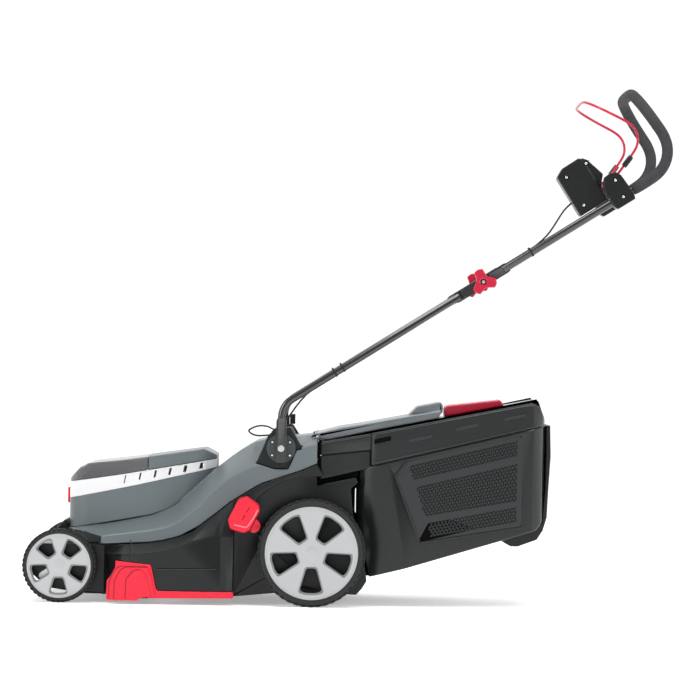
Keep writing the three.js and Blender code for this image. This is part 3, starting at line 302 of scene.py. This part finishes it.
def rounded(corners, radius, steps=4):
    """The outline of a polygon with its corners rounded."""
    outline = []
    for index, corner in enumerate(corners):
        here = Vector(corner)
        before = (Vector(corners[index - 1]) - here)
        after = (Vector(corners[(index + 1) % len(corners)]) - here)
        reach = min(radius, before.length * 0.48, after.length * 0.48)
        one, two = here + before.normalized() * reach, here + after.normalized() * reach
        for step in range(steps + 1):
            share = step / steps
            outline.append(tuple(one.lerp(here, share).lerp(here.lerp(two, share), share)))
    return outline


def strip(points, half):
    """The outline of a narrow band that follows a line."""
    sides = ([], [])
    for index, point in enumerate(points):
        here = Vector(point)
        ahead = Vector(points[min(index + 1, len(points) - 1)]) - Vector(points[max(index - 1, 0)])
        out = Vector((-ahead.y, ahead.x)).normalized() * half
        sides[0].append(tuple(here + out))
        sides[1].append(tuple(here - out))
    return sides[0] + sides[1][::-1]


deck_black = moulded("deck_black", (0.0085, 0.0095, 0.0098), 0.3, Specular_IOR_Level=0.28)
# shadow_black is a near-black matt finish for painted shade in gaps, seams, wells and recesses.
shadow_black = moulded("shadow_black", (0.002, 0.002, 0.002), 0.8, Specular_IOR_Level=0.05)
eased("deck", 0.0012, deck_black)

# Near-black matt sheets in shadow black close the joint between the deck's tail and the grass box; their darkness is
# painted shade in the gap. They are set from the rear hub.
def from_rear(distance):
    return REAR_X + distance


top_lip = [
    (from_rear(0.0086), 0.2465), (from_rear(0.088), 0.2634), (from_rear(0.0925), 0.2655),
    (from_rear(0.0925), 0.2752), (from_rear(0.045), 0.2633), (from_rear(0.014), 0.2562), (from_rear(0.0086), 0.2562),
]
plate("tail_lip", [top_lip], -0.14, 0.14, "chassis", shadow_black, "deck_black", 0.0003)
back_lip = [
    (from_rear(0.09), 0.276), (from_rear(0.0955), 0.276), (from_rear(0.0955), 0.2505), (from_rear(0.0868), 0.2385),
    (from_rear(0.0868), 0.1855), (from_rear(0.118), 0.0605), (from_rear(0.112), 0.0605), (from_rear(0.111), 0.066),
    (from_rear(0.082), 0.186), (from_rear(0.0775), 0.2412), (from_rear(0.09), 0.252),
]
cover_lip = [
    (from_rear(0.0085), 0.25), (from_rear(0.0125), 0.25), (from_rear(0.0125), 0.334), (from_rear(0.0085), 0.334),
]
for name, side in SIDES:
    for part, outline, inner, outer in (("back", back_lip, 0.1, 0.119), ("cover", cover_lip, 0.128, 0.15)):
        near, far = sorted((side * inner, side * outer))
        plate(f"{part}_lip_{name}", [outline], near, far, "chassis", shadow_black, "deck_black", 0.0003)

# ---------------------------------------------------------------- front grip
# A black grip moulding across the nose, where the machine is lifted into a car. It snaps into the deck
# and is well rounded where the fingers go.
eased("front_grip", 0.004, deck_black, segments=4)

# ---------------------------------------------------------------- grass combs
# Bright red polypropylene combs screwed along both lower edges, with three stepped fins at the front.
part_grey = moulded("part_grey", (0.035, 0.042, 0.043), 0.4, Specular_IOR_Level=0.35)
accent_red = moulded("accent_red", (0.62, 0.006, 0.028), 0.3, mottle=0.05, Specular_IOR_Level=0.4)
comb_shade = moulded("comb_shade", (0.16, 0.003, 0.009), 0.4, Specular_IOR_Level=0.2)
COMB_FACE = 0.2138
# Each fin's outline is (distance behind the front hub, height).
FINS = (
    [(0.104, 0.0085), (0.1045, 0.046), (0.113, 0.0655), (0.1225, 0.0765), (0.186, 0.0765), (0.1985, 0.0255),
     (0.1985, 0.0165), (0.168, 0.0135), (0.162, 0.0085)],
    [(0.1145, 0.0085), (0.1155, 0.049), (0.1285, 0.0705), (0.137, 0.0755), (0.184, 0.0755), (0.1965, 0.0255),
     (0.1965, 0.0165), (0.168, 0.0135), (0.162, 0.0085)],
    [(0.1375, 0.009), (0.139, 0.05), (0.1515, 0.0675), (0.164, 0.0715), (0.1755, 0.067), (0.189, 0.0245),
     (0.189, 0.0165), (0.168, 0.0145), (0.162, 0.009)],
)
FIN_ROUNDING = 0.006
BULGE_FACE = 0.2118
for name, side in SIDES:
    eased("grass_comb_" + name, 0.0014, accent_red)
    for number, fin in enumerate(FINS):
        outline = rounded([(FRONT_X + dx, z) for dx, z in fin], FIN_ROUNDING)
        face = COMB_FACE + 0.0013 * number
        # A darker red plate behind each fin, set back and up, is painted shade along the fin's edge.
        fin_shade_outline = rounded([(FRONT_X + dx - 0.0013, z + 0.0009) for dx, z in fin], FIN_ROUNDING)
        plate(f"comb_shade_{name}_{number}", [fin_shade_outline], side * (face - 0.0006), side * (face + 0.0006),
              "chassis", comb_shade, "accent_red", 0.0002)
        plate(f"comb_fin_{name}_{number}", [outline], side * (face - 0.0006), side * (face + 0.0014),
              "chassis", accent_red, "accent_red", 0.0008)
    seam = [(FRONT_X + 0.146, 0.1315), (FRONT_X + 0.146, 0.09)]
    low_seam = [(FRONT_X + 0.2, 0.0735), (-0.262, 0.0758)]
    for part, line in (("seam", seam), ("low_seam", low_seam)):
        plate(f"deck_{part}_{name}", [strip(line, 0.0008)], side * BULGE_FACE, side * (BULGE_FACE + 0.00055),
              "chassis", shadow_black, "deck_black", 0.0001)
        # The lighter grey strip just below each dark seam is a painted highlight on the seam's lower lip.
        seam_highlight_line = [(x + 0.0012, z - 0.0014) for x, z in line]
        plate(f"deck_{part}_edge_{name}", [strip(seam_highlight_line, 0.0006)], side * BULGE_FACE, side * (BULGE_FACE + 0.0008),
              "chassis", part_grey, "deck_black", 0.0003)

# ---------------------------------------------------------------- cover and hood
# Blue-grey ABS mouldings: the cover that sweeps up to the handle's ears, the hood over the motor, and the
# cap behind the battery flap. The white band of vents is a moulding of its own.
cover_grey = moulded("cover_grey", (0.098, 0.118, 0.125), 0.34, mottle=0.04, Specular_IOR_Level=0.4)
vent_white = moulded("vent_white", (0.62, 0.62, 0.63), 0.42, mottle=0.02)
eased("top_cover", 0.0022, cover_grey, segments=3)
for name, side in SIDES:
    wall = [(FRONT_X + 0.022, 0.119), (FRONT_X + 0.1, 0.119), (FRONT_X + 0.1, 0.14), (FRONT_X + 0.03, 0.142)]
    plate("cover_wall_" + name, [wall], side * 0.106, side * 0.109,
          "chassis", cover_grey, "cover_grey", 0.0004)
eased("motor_hood", 0.0012, cover_grey)
eased("hood_rear_cap", 0.003, cover_grey, segments=3)
eased("vent_band", 0.0009, vent_white, angle=40)

# ---------------------------------------------------------------- battery flap
# A smoked see-through flap over the battery, hinged at the cap's seam, with a red catch in the nose.
flap_smoke = Paint("flap_smoke", Roughness=0.14, Alpha=0.66, Coat_Weight=0.3)
haze = flap_smoke.noise(11, 3)
flap_smoke.vary(Base_Color=flap_smoke.blend(haze, (0.07, 0.07, 0.075), (0.11, 0.11, 0.115)))
eased("battery_flap", 0.003, flap_smoke, segments=3)
eased("flap_catch", 0.0015, accent_red)

# ---------------------------------------------------------------- battery bay
# The tray, the battery pack and the safety key under the flap. The pack and the key are red mouldings that
# pull out by hand.
eased("battery_tray", 0.0008, deck_black)
eased("battery", 0.004, accent_red, segments=3)
eased("safety_key", 0.002, accent_red)

# ---------------------------------------------------------------- motor, shaft and blade
# A painted can motor on the deck. Its shaft carries a fan disc and the steel blade, held by one bolt.
def brushed(name, colour, roughness, stretch):
    paint = Paint(name, Metallic=1.0)
    lines = paint.noise(260, 3, stretch)
    paint.vary(
        Base_Color=paint.blend(lines, shade(colour, 0.82), shade(colour, 1.1)),
        Roughness=roughness + (lines - 0.5) * 0.25,
    )
    paint.bump(lines, 0.15, 0.0001)
    return paint


zinc = brushed("zinc", (0.62, 0.63, 0.64), 0.32, (1, 1, 1))
blade_steel = brushed("blade_steel", (0.5, 0.5, 0.52), 0.36, (6, 0.3, 1))
motor_paint = moulded("motor_paint", (0.03, 0.03, 0.033), 0.4, Metallic=0.3)
eased("motor", 0.002, motor_paint)
eased("motor_shaft", 0.0006, zinc)
eased("blade_holder", 0.001, deck_black)
eased("blade", 0.0006, blade_steel)
eased("blade_bolt", 0.0008, zinc)

# ---------------------------------------------------------------- axles and height lever
# Zinc-plated cranked axles joined by a flat rod, so that the red lever lifts both ends of the deck.
eased("rear_axle", 0.0006, zinc)
eased("front_axle", 0.0006, zinc)
eased("link_rod", 0.0006, zinc)
lever = eased("height_lever", 0.0016, accent_red)
# The lever's inner faces are painted shade: black within ARM_END of the hub, behind the wheel, and a darker red
# beyond it.
shaded_arm_black = moulded("lever_arm", (0.006, 0.006, 0.006), 0.4, Specular_IOR_Level=0.2)
shaded_arm_red = moulded("lever_arm_red", (0.16, 0.004, 0.012), 0.35, Specular_IOR_Level=0.2)
lever.data.materials.append(shaded_arm_black.material)
lever.data.materials.append(shaded_arm_red.material)
hub = Vector((REAR_X, 0, REAR_Z))
KNOB_BACK = -0.2025
ARM_END = 0.104
for face in lever.data.polygons:
    if face.center.y > KNOB_BACK:
        reach = math.hypot(face.center.x - hub.x, face.center.z - hub.z)
        face.material_index = 1 if reach < ARM_END else 2
LEVER_FACE = 0.2188
LEVER_BACK = -LEVER_FACE + 0.0004
# The rib is drawn in a lighter red, a painted highlight along its edge.
rib = [(-0.1775, 0.1965), (-0.1855, 0.18), (-0.1975, 0.1625), (-0.202, 0.1605), (-0.2245, 0.1655)]
lever_rib = moulded("lever_rib", (0.95, 0.16, 0.19), 0.3)
plate("lever_rib", [strip(rib, 0.0013)], LEVER_BACK, -LEVER_FACE - 0.001,
      "rear_axle", lever_rib, "accent_red", 0.0005)
# The slits are drawn in the darker red, painted shade inside them.
for number, (x, z) in enumerate(((-0.1975, 0.196), (-0.206, 0.1805))):
    slit = strip([(x - 0.0032, z - 0.0055), (x + 0.0032, z + 0.0055)], 0.0011)
    plate(f"lever_slit_{number}", [slit], LEVER_BACK, -LEVER_FACE - 0.0003,
          "rear_axle", shaded_arm_red, "accent_red", 0.0002)

# ---------------------------------------------------------------- wheels
# Silver polypropylene rims with five windows, pressed on plain bearings, in solid black rubber tyres
# with three rows of moulded tread blocks. A hub cap covers each axle end.
rubber = moulded("tyre", (0.014, 0.0145, 0.0145), 0.6, mottle=0.12, grain=0.5, Specular_IOR_Level=0.3)
rim_silver = moulded("rim_silver", (0.37, 0.38, 0.385), 0.36, mottle=0.03, Metallic=0.15)
# The web behind the windows is a darker copy of the rim's grey, painted shade.
rim_shade_grey = moulded("rim_flange", (0.2, 0.208, 0.21), 0.4, mottle=0.04)
TREAD_DEPTH = 0.0022
SHOULDER = 0.004
BLOCKS = 44
# Each rim's windows: nearest reach and half width, then farthest reach and half width.
RIM_WINDOWS = {"rear": (0.0275, 0.012, 0.0842, 0.0262), "front": (0.022, 0.011, 0.0588, 0.0198)}


def lathed(name, profile, centre, steps):
    """A closed outline of (radius, across) turned about an axle that lies along Y."""
    form = bmesh.new()
    rings = []
    for step in range(steps):
        angle = 2 * math.pi * step / steps
        rings.append([
            form.verts.new((centre[0] + r * math.cos(angle), y, centre[2] + r * math.sin(angle)))
            for r, y in profile
        ])
    for one, two in zip(rings, rings[1:] + rings[:1]):
        for here in range(len(profile)):
            there = (here + 1) % len(profile)
            form.faces.new((one[here], one[there], two[there], two[here]))
    bmesh.ops.recalc_face_normals(form, faces=form.faces)
    mesh = bpy.data.meshes.new(name)
    form.to_mesh(mesh)
    form.free()
    return bpy.data.objects.new(name, mesh)


def add_blocks(made, centre, radius, low, high, count):
    """Stands three staggered rows of tread blocks on a tyre, out to its full radius."""
    form = bmesh.new()
    form.from_mesh(made.data)
    row_width = (high - low) / 3
    for row in range(3):
        near = low + row * row_width + 0.0012
        far = low + (row + 1) * row_width - 0.0012
        for block in range(count):
            middle = 2 * math.pi * (block + 0.5 * (row % 2)) / count
            half = 0.31 * 2 * math.pi / count
            ring = []
            for reach, shrink in ((radius - TREAD_DEPTH - 0.0008, 1.0), (radius, 0.86)):
                for turn, y in ((-1, near), (1, near), (1, far), (-1, far)):
                    angle = middle + turn * half * shrink
                    ring.append(form.verts.new((
                        centre[0] + reach * math.cos(angle), y, centre[2] + reach * math.sin(angle),
                    )))
            form.faces.new(ring[4:])
            for corner in range(4):
                after = (corner + 1) % 4
                form.faces.new((ring[corner], ring[after], ring[after + 4], ring[corner + 4]))
    bmesh.ops.recalc_face_normals(form, faces=form.faces)
    form.to_mesh(made.data)
    form.free()


def rim_windows(centre, near, near_half, far, far_half, trim):
    """The five window outlines of a rim, each trimmed smaller all round."""
    windows = []
    corner = far * 0.944 - trim
    for fifth in range(5):
        turn = math.radians(-90 + 72 * fifth)
        window = [
            (near + trim, -near_half + trim * 0.7), (corner, -far_half + trim), (far - trim, -far_half * 0.45),
            (far - trim, far_half * 0.45), (corner, far_half - trim), (near + trim, near_half - trim * 0.7),
        ]
        windows.append(rounded([
            (centre.x + reach * math.cos(turn) - off * math.sin(turn),
             centre.z + reach * math.sin(turn) + off * math.cos(turn)) for reach, off in window
        ], 0.0055))
    return windows


for end in ("front", "rear"):
    for name, side in SIDES:
        wheel = f"{end}_{name}"
        body = f"wheel_{wheel}"
        centre = Vector(joints[body + "_spin"]["pos_m"])
        low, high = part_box("tyre_" + wheel)
        outer = max(abs(low.y), abs(high.y))
        inner = min(abs(low.y), abs(high.y))
        radius = (high.z - low.z) / 2
        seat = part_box("rim_" + wheel)[1].z - centre.z
        core = radius - TREAD_DEPTH
        outline = [
            (seat - 0.002, inner + 0.002), (seat + 0.001, inner), (core - SHOULDER, inner),
            (core - 0.001, inner + SHOULDER), (core, inner + 2 * SHOULDER), (core, outer - 2 * SHOULDER),
            (core - 0.001, outer - SHOULDER), (core - SHOULDER, outer - 0.0006), (seat + 0.003, outer),
            (seat - 0.001, outer - 0.001), (seat - 0.002, outer - 0.004),
        ]
        tyre = lathed("rubber_" + wheel, [(r, side * y) for r, y in outline], centre, 120)
        add_blocks(tyre, centre, radius, *sorted((side * (inner + 0.001), side * (outer - 0.001))), BLOCKS)
        smooth(tyre.data, 35)
        show(tyre, body, rubber, "tyre", "tyre_" + wheel)
        windows = rim_windows(centre, *RIM_WINDOWS[end], 0.0)
        inner_windows = rim_windows(centre, *RIM_WINDOWS[end], 0.0032)
        hub_spot = (centre.x, centre.z)
        face = outer - 0.0012
        ring = disc_outline(hub_spot, seat - 0.003, 96)
        dressed = plate("rim_face_" + wheel, [ring, *windows], side * (face - 0.0045), side * face,
                        body, rim_silver, "rim_silver", 0.0016)
        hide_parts("rim_" + wheel)
        plate("rim_web_" + wheel, [ring, *inner_windows], side * (face - 0.013), side * (face - 0.0046),
              body, rim_shade_grey, "rim_silver", 0.0012)
        barrel = lathed("rim_barrel_" + wheel, [
            (seat - 0.0004, side * (outer - 0.003)), (seat - 0.0016, side * (outer - 0.0004)),
            (seat - 0.0042, side * (outer - 0.0006)), (seat - 0.0052, side * (outer - 0.004)),
            (seat - 0.0052, side * (inner + 0.002)), (seat - 0.0004, side * (inner + 0.002)),
        ], centre, 96)
        smooth(barrel.data, 40)
        show(barrel, body, rim_silver, "rim_silver")
        boss = lathed("hub_" + wheel, [
            (0.0054, side * (outer - 0.006)), (0.017, side * (outer - 0.006)), (0.0175, side * (outer - 0.014)),
            (0.0165, side * (inner + 0.004)), (0.0054, side * (inner + 0.004)),
        ], centre, 48)
        smooth(boss.data, 40)
        show(boss, body, rim_silver, "rim_silver")
        cap = lathed("hub_cap_" + wheel, [
            (0.0001, side * (outer - 0.0004)), (0.008, side * (outer - 0.0005)), (0.0145, side * (outer - 0.0012)),
            (0.0168, side * (outer - 0.0026)), (0.0172, side * (outer - 0.006)), (0.0001, side * (outer - 0.006)),
        ], centre, 48)
        smooth(cap.data, 40)
        show(cap, body, rim_silver, "rim_silver")

# ---------------------------------------------------------------- brackets and fold discs
# Black bracket mouldings stand at the cover's ears. Each holds a ribbed grey disc, on which the lower
# handle folds, and one plated bolt.
handle_black = moulded("handle_black", (0.0085, 0.009, 0.0095), 0.3, Specular_IOR_Level=0.3)
for name, side in SIDES:
    eased("bracket_" + name, 0.0016, deck_black)
    eased("pivot_disc_" + name, 0.0012, part_grey)
    eased("pivot_bolt_" + name, 0.0008, zinc)
eased("handle_stop", 0.001, deck_black)
PIVOT = Vector(joints["lower_handle_fold"]["pos_m"])
RIVETS = ((-0.018, 0.013), (0.018, 0.013), (-0.018, -0.014), (0.018, -0.014))


def dot(name, place, side, face, radius, proud, body, paint, slot):
    """A small turned head standing on a side face: a rivet, a screw or a bolt."""
    made = lathed(name, [
        (0.00005, side * (face + proud * 0.8)), (radius * 0.3, side * (face + proud)),
        (radius * 0.8, side * (face + proud * 0.9)), (radius, side * (face + proud * 0.3)),
        (radius, side * (face - 0.001)), (0.00005, side * (face - 0.001)),
    ], (place[0], 0, place[1]), 20)
    smooth(made.data, 40)
    return show(made, body, paint, slot)


for name, side in SIDES:
    disc_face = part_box("pivot_disc_" + name)[1 if side > 0 else 0].y * side
    for number, (dx, dz) in enumerate(RIVETS):
        place = (PIVOT.x + dx, PIVOT.z + dz)
        dot(f"rivet_seat_{name}_{number}", place, side, disc_face, 0.0042, 0.0001,
            "chassis", handle_black, "handle_black")
        dot(f"rivet_{name}_{number}", place, side, disc_face, 0.0024, 0.0002, "chassis", zinc, "steel")

# ---------------------------------------------------------------- handle
# Gloss black steel tube in two parts. The lower legs stand in the fold discs, and the upper bow carries a
# sleeve of foam. Star knobs on through-bolts lock the two together.
tube_black = Paint("tube_black", Coat_Weight=0.6, Coat_Roughness=0.08)
paint_flow = tube_black.noise(40, 3)
tube_black.vary(
    Base_Color=tube_black.blend(paint_flow, (0.009, 0.0095, 0.01), (0.014, 0.0145, 0.015)),
    Roughness=0.16 + paint_flow * 0.1,
)
tube_black.bump(paint_flow, 0.08, 0.0003)

foam = Paint("foam", Specular_IOR_Level=0.2)
cells = foam.node("ShaderNodeTexVoronoi", {}, {"Vector": foam.place, "Scale": 700.0})
foam_tone = foam.noise(60, 4)
foam.vary(
    Base_Color=foam.blend(foam_tone, (0.022, 0.0225, 0.024), (0.045, 0.046, 0.048)),
    Roughness=0.82 + (foam_tone - 0.5) * 0.2,
)
foam.bump(cells, 0.6, 0.0004)
handle_red = moulded("handle_red", (0.4, 0.006, 0.03), 0.26, mottle=0.05, Specular_IOR_Level=0.4)

# One arm of a star knob: (reach, degrees off the arm's middle), from the hollow before it round its end.
KNOB_ARM = ((0.0135, -60), (0.0205, -29), (0.0265, -22), (0.0277, 0), (0.0265, 22), (0.0205, 29))
for name, side in SIDES:
    eased("lower_leg_" + name, 0.0008, tube_black, angle=40)
    eased("knob_bolt_" + name, 0.0008, zinc)
    knob = Vector(joints[f"star_knob_{name}_turn"]["pos_m"])
    arms = []
    for third in range(3):
        for reach, turn in KNOB_ARM:
            turn = math.radians(116 + 120 * third + turn)
            arms.append((knob.x + reach * math.cos(turn), knob.z + reach * math.sin(turn)))
    bore = disc_outline((knob.x, knob.z), 0.0062)
    low, high = sorted(abs(corner.y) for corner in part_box("star_knob_" + name))
    star = plate("star_" + name, [rounded(arms, 0.004), bore], side * (low + 0.006), side * (high - 0.0002),
                 "star_knob_" + name, handle_red, "accent_crimson", 0.0022)
    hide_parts("star_knob_" + name)
    boss = lathed("knob_boss_" + name, [
        (0.0058, side * low), (0.0115, side * low), (0.0115, side * (low + 0.0075)),
        (0.0058, side * (high - 0.005)),
    ], (knob.x, 0, knob.z), 32)
    smooth(boss.data, 40)
    show(boss, "star_knob_" + name, handle_red, "accent_crimson")
eased("upper_handle", 0.0006, tube_black, angle=40)


def rolled(node, paint):
    """A tube of the frame taken over with its bends smoothed."""
    mesh = frame["nodes"][node].data.copy()
    form = bmesh.new()
    form.from_mesh(mesh)
    bmesh.ops.remove_doubles(form, verts=form.verts, dist=2e-5)
    bmesh.ops.join_triangles(form, faces=form.faces, angle_face_threshold=0.5, angle_shape_threshold=1.2)
    form.to_mesh(mesh)
    form.free()
    smooth(mesh, 80)
    made = bpy.data.objects.new(node + "_skin", mesh)
    show(made, body_of[node], paint, slot_of[node], node)
    rounding = made.modifiers.new("rounding", "SUBSURF")
    rounding.levels = 2
    rounding.render_levels = 2


rolled("grip", foam)

# ---------------------------------------------------------------- clamps, switch box and bail
# Two glossy black clamp mouldings hold the bow and carry the red wire bail. On the left, the switch box is
# screwed to the bow, with its red start button on the inside.
for name, side in SIDES:
    eased("handle_clamp_" + name, 0.0022, handle_black, segments=3)
eased("switch_box", 0.003, handle_black, segments=3)
eased("start_button", 0.0012, handle_red)
rolled("bail", handle_red)
# Each holder's outer face, then its screws' (x, z).
SCREWS = (("switch_box", 0.183, ((0.4397, 0.8842), (0.4789, 0.9134), (0.4763, 0.8279))),
          ("handle_clamp_left", 0.212, ((0.5375, 0.8788), (0.5544, 0.8455))))
for holder, face, places in SCREWS:
    for number, place in enumerate(places):
        # A near-black ring round each screw is painted shade in its well.
        dot(f"screw_shade_{holder}_{number}", place, -1, face, 0.0044, 0.0004,
            "upper_handle", shadow_black, "handle_black")
        dot(f"screw_{holder}_{number}", place, -1, face + 0.0002, 0.0026, 0.0007,
            "upper_handle", zinc, "steel")
# A black sleeve covers the start of each leg of the bail.
BAIL_FOOT = Vector(joints["bail_pull"]["pos_m"])
BAIL_LEAN = math.radians(54)
SLEEVE_UP = 0.046
SLEEVE_Y = 0.184
for name, side in SIDES:
    middle = BAIL_FOOT + Vector((math.cos(BAIL_LEAN), 0, math.sin(BAIL_LEAN))) * SLEEVE_UP
    middle.y = side * SLEEVE_Y
    sleeve = lathed("bail_sleeve_" + name, [
        (0.0031, -0.013), (0.0052, -0.0125), (0.0058, -0.008), (0.0058, 0.009), (0.005, 0.013),
        (0.0031, 0.013),
    ], (0, 0, 0), 24)
    sleeve.data.transform(Matrix.Rotation(math.pi / 2, 4, "X"))
    sleeve.data.transform(Matrix.Rotation(math.pi / 2 - BAIL_LEAN, 4, "Y"))
    sleeve.data.transform(Matrix.Translation(middle))
    smooth(sleeve.data, 40)
    show(sleeve, "bail", handle_black, "handle_black")

# ---------------------------------------------------------------- switch cable
# A thin black three-core cable runs from the cover, up the left leg in ties, to the switch box.
cable_black = moulded("cable_black", (0.009, 0.009, 0.0095), 0.45, Specular_IOR_Level=0.3)
eased("cable_slack", 0.0002, cable_black, angle=50)


def bent(node, paint):
    """A frame part taken over with its faces smoothed, left in place on no body."""
    mesh = frame["nodes"][node].data.copy()
    form = bmesh.new()
    form.from_mesh(mesh)
    bmesh.ops.remove_doubles(form, verts=form.verts, dist=2e-5)
    form.to_mesh(mesh)
    form.free()
    smooth(mesh, 60)
    mesh.materials.clear()
    mesh.materials.append(paint.material)
    made = bpy.data.objects.new(node + "_skin", mesh)
    bpy.context.scene.collection.objects.link(made)
    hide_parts(node)
    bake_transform(made)
    return made


SLOPE = math.radians(32.5)
KNOB = Vector(joints["upper_handle_fold"]["pos_m"])


def on_handle(along, off=0.0):
    """The (x, z) of a point a distance along the handle from the star knob, and off it."""
    return (
        KNOB.x + along * math.cos(SLOPE) - off * math.sin(SLOPE),
        KNOB.z + along * math.sin(SLOPE) + off * math.cos(SLOPE),
    )


# Each tie: how far along the handle, the tube's y, and its body.
TIES = ((-0.354, -0.183, "lower_handle"), (-0.335, -0.183, "lower_handle"), (0.115, -0.1913, "upper_handle"))
TIE_HALF = 0.0018
for number, (along, tie_y, body) in enumerate(TIES):
    band = [on_handle(along - TIE_HALF, -0.0088), on_handle(along + TIE_HALF, -0.0088),
            on_handle(along + TIE_HALF, 0.0115), on_handle(along - TIE_HALF, 0.0115)]
    plate(f"cable_tie_{number}", [band], tie_y - 0.0088, tie_y + 0.0125, body, cable_black, "cable", 0.0005)
bent("cable_lower", cable_black)
low, high = on_handle(-0.002), on_handle(0.05)
bent("cable_upper", cable_black)

# ---------------------------------------------------------------- grass box
# Two black polypropylene halves clipped together at the waist, with a red carrying handle in the lid,
# mesh panels in the sides that let the air out, and a flat rear panel with a foot.
box_black = moulded("box_black", (0.0095, 0.0105, 0.011), 0.24, Specular_IOR_Level=0.38)
mesh_black = moulded("mesh_black", (0.02, 0.0215, 0.0225), 0.36, Specular_IOR_Level=0.35)
eased("basket", 0.003, box_black, segments=3)
eased("box_lid", 0.003, box_black, segments=3)
eased("box_rear_panel", 0.002, handle_black)
eased("box_handle", 0.004, handle_red, segments=4)

# Each side panel is a grille of triangles in three bands, over a near-black sheet of painted shade, with a lip in
# front. A band is (rear end's low z, high z, low slope, high slope, rows).
PANEL = [(0.1015, 0.268), (0.1545, 0.134), (0.3605, 0.169), (0.3585, 0.354), (0.124, 0.2965)]
PANEL_FACE = 0.165
BANDS = ((0.314, 0.346, 0.25, 0.25, 5), (0.2215, 0.299, 0.185, 0.25, 11), (0.1785, 0.2105, 0.19, 0.2, 5))
BAND_END = 0.354
PITCH = 0.0073
HOLE_SHARE = 0.62


def grille_holes():
    holes = []
    for low_end, high_end, low_slope, high_slope, rows in BANDS:
        def at(column, row):
            x = BAND_END - column * PITCH
            low_z = low_end + low_slope * (x - BAND_END)
            high_z = high_end + high_slope * (x - BAND_END)
            return Vector((x, low_z + (high_z - low_z) * row / rows))

        for row in range(rows):
            for half_column in range(70):
                start = half_column / 2 + 0.25
                up = (half_column + row) % 2
                corners = [at(start, row + 1 - up), at(start + 1, row + 1 - up), at(start + 0.5, row + up)]
                middle = (corners[0] + corners[1] + corners[2]) / 3
                if middle.x < 0.131 + (0.285 - middle.y) * 0.33:
                    continue
                holes.append([tuple(middle + (corner - middle) * HOLE_SHARE) for corner in corners])
    return holes


# The lid's clips: one open recess, whose flat dark plate is painted shade, and three short bars, each (x, z, length,
# height, finish).
CLIPS = (
    (0.074, 0.3415, 0.034, 0.0095, shadow_black), (0.1515, 0.3455, 0.047, 0.006, mesh_black),
    (0.2458, 0.3705, 0.047, 0.006, mesh_black), (0.345, 0.3925, 0.044, 0.006, mesh_black),
)
CLIP_SLOPE = 0.23
for name, side in SIDES:
    # The dark sheet behind the grille is painted shade inside the box.
    plate(f"grille_shade_sheet_{name}", [PANEL], side * (PANEL_FACE + 0.00005), side * (PANEL_FACE + 0.0003),
          "grass_box", shadow_black, "box_grey", 0.00005)
    plate(f"grille_{name}", [rounded(PANEL, 0.006), *grille_holes()], side * (PANEL_FACE + 0.0003),
          side * (PANEL_FACE + 0.0014), "grass_box", mesh_black, "box_grey", 0.00012)
    lip = strip([(0.1235, 0.2985), (0.101, 0.2685), (0.1515, 0.139), (0.156, 0.1325), (0.362, 0.1675)], 0.0024)
    plate(f"grille_lip_{name}", [lip], side * (PANEL_FACE + 0.0002), side * (PANEL_FACE + 0.0036),
          "grass_box", box_black, "box_grey", 0.0014)
    for number, (x, z, length, height, paint) in enumerate(CLIPS):
        tilt = CLIP_SLOPE * length / 2
        corners = [(x - length / 2, z - tilt - height / 2), (x + length / 2, z + tilt - height / 2),
                   (x + length / 2, z + tilt + height / 2), (x - length / 2, z - tilt + height / 2)]
        plate(f"lid_clip_{name}_{number}", [rounded(corners, 0.0015)], side * (PANEL_FACE - 0.0006),
              side * (PANEL_FACE + 0.0009), "grass_box", paint, "box_grey", 0.0005)
    bead = [(0.054, 0.293), (0.2, 0.3275), (0.345, 0.3635)]
    plate(f"lid_bead_{name}", [strip(bead, 0.0016)], side * (PANEL_FACE - 0.0006), side * (PANEL_FACE + 0.0014),
          "grass_box", mesh_black, "box_grey", 0.0008)

# ---------------------------------------------------------------- rear flap
# A light grey ABS flap closes the chute when the box is off. It turns on a plated rod at the top of the
# cover, and a spring holds it down.
flap_grey = moulded("flap_grey", (0.15, 0.168, 0.178), 0.34, mottle=0.03)
eased("rear_flap", 0.003, flap_grey, segments=3)
eased("flap_rod", 0.0003, zinc)
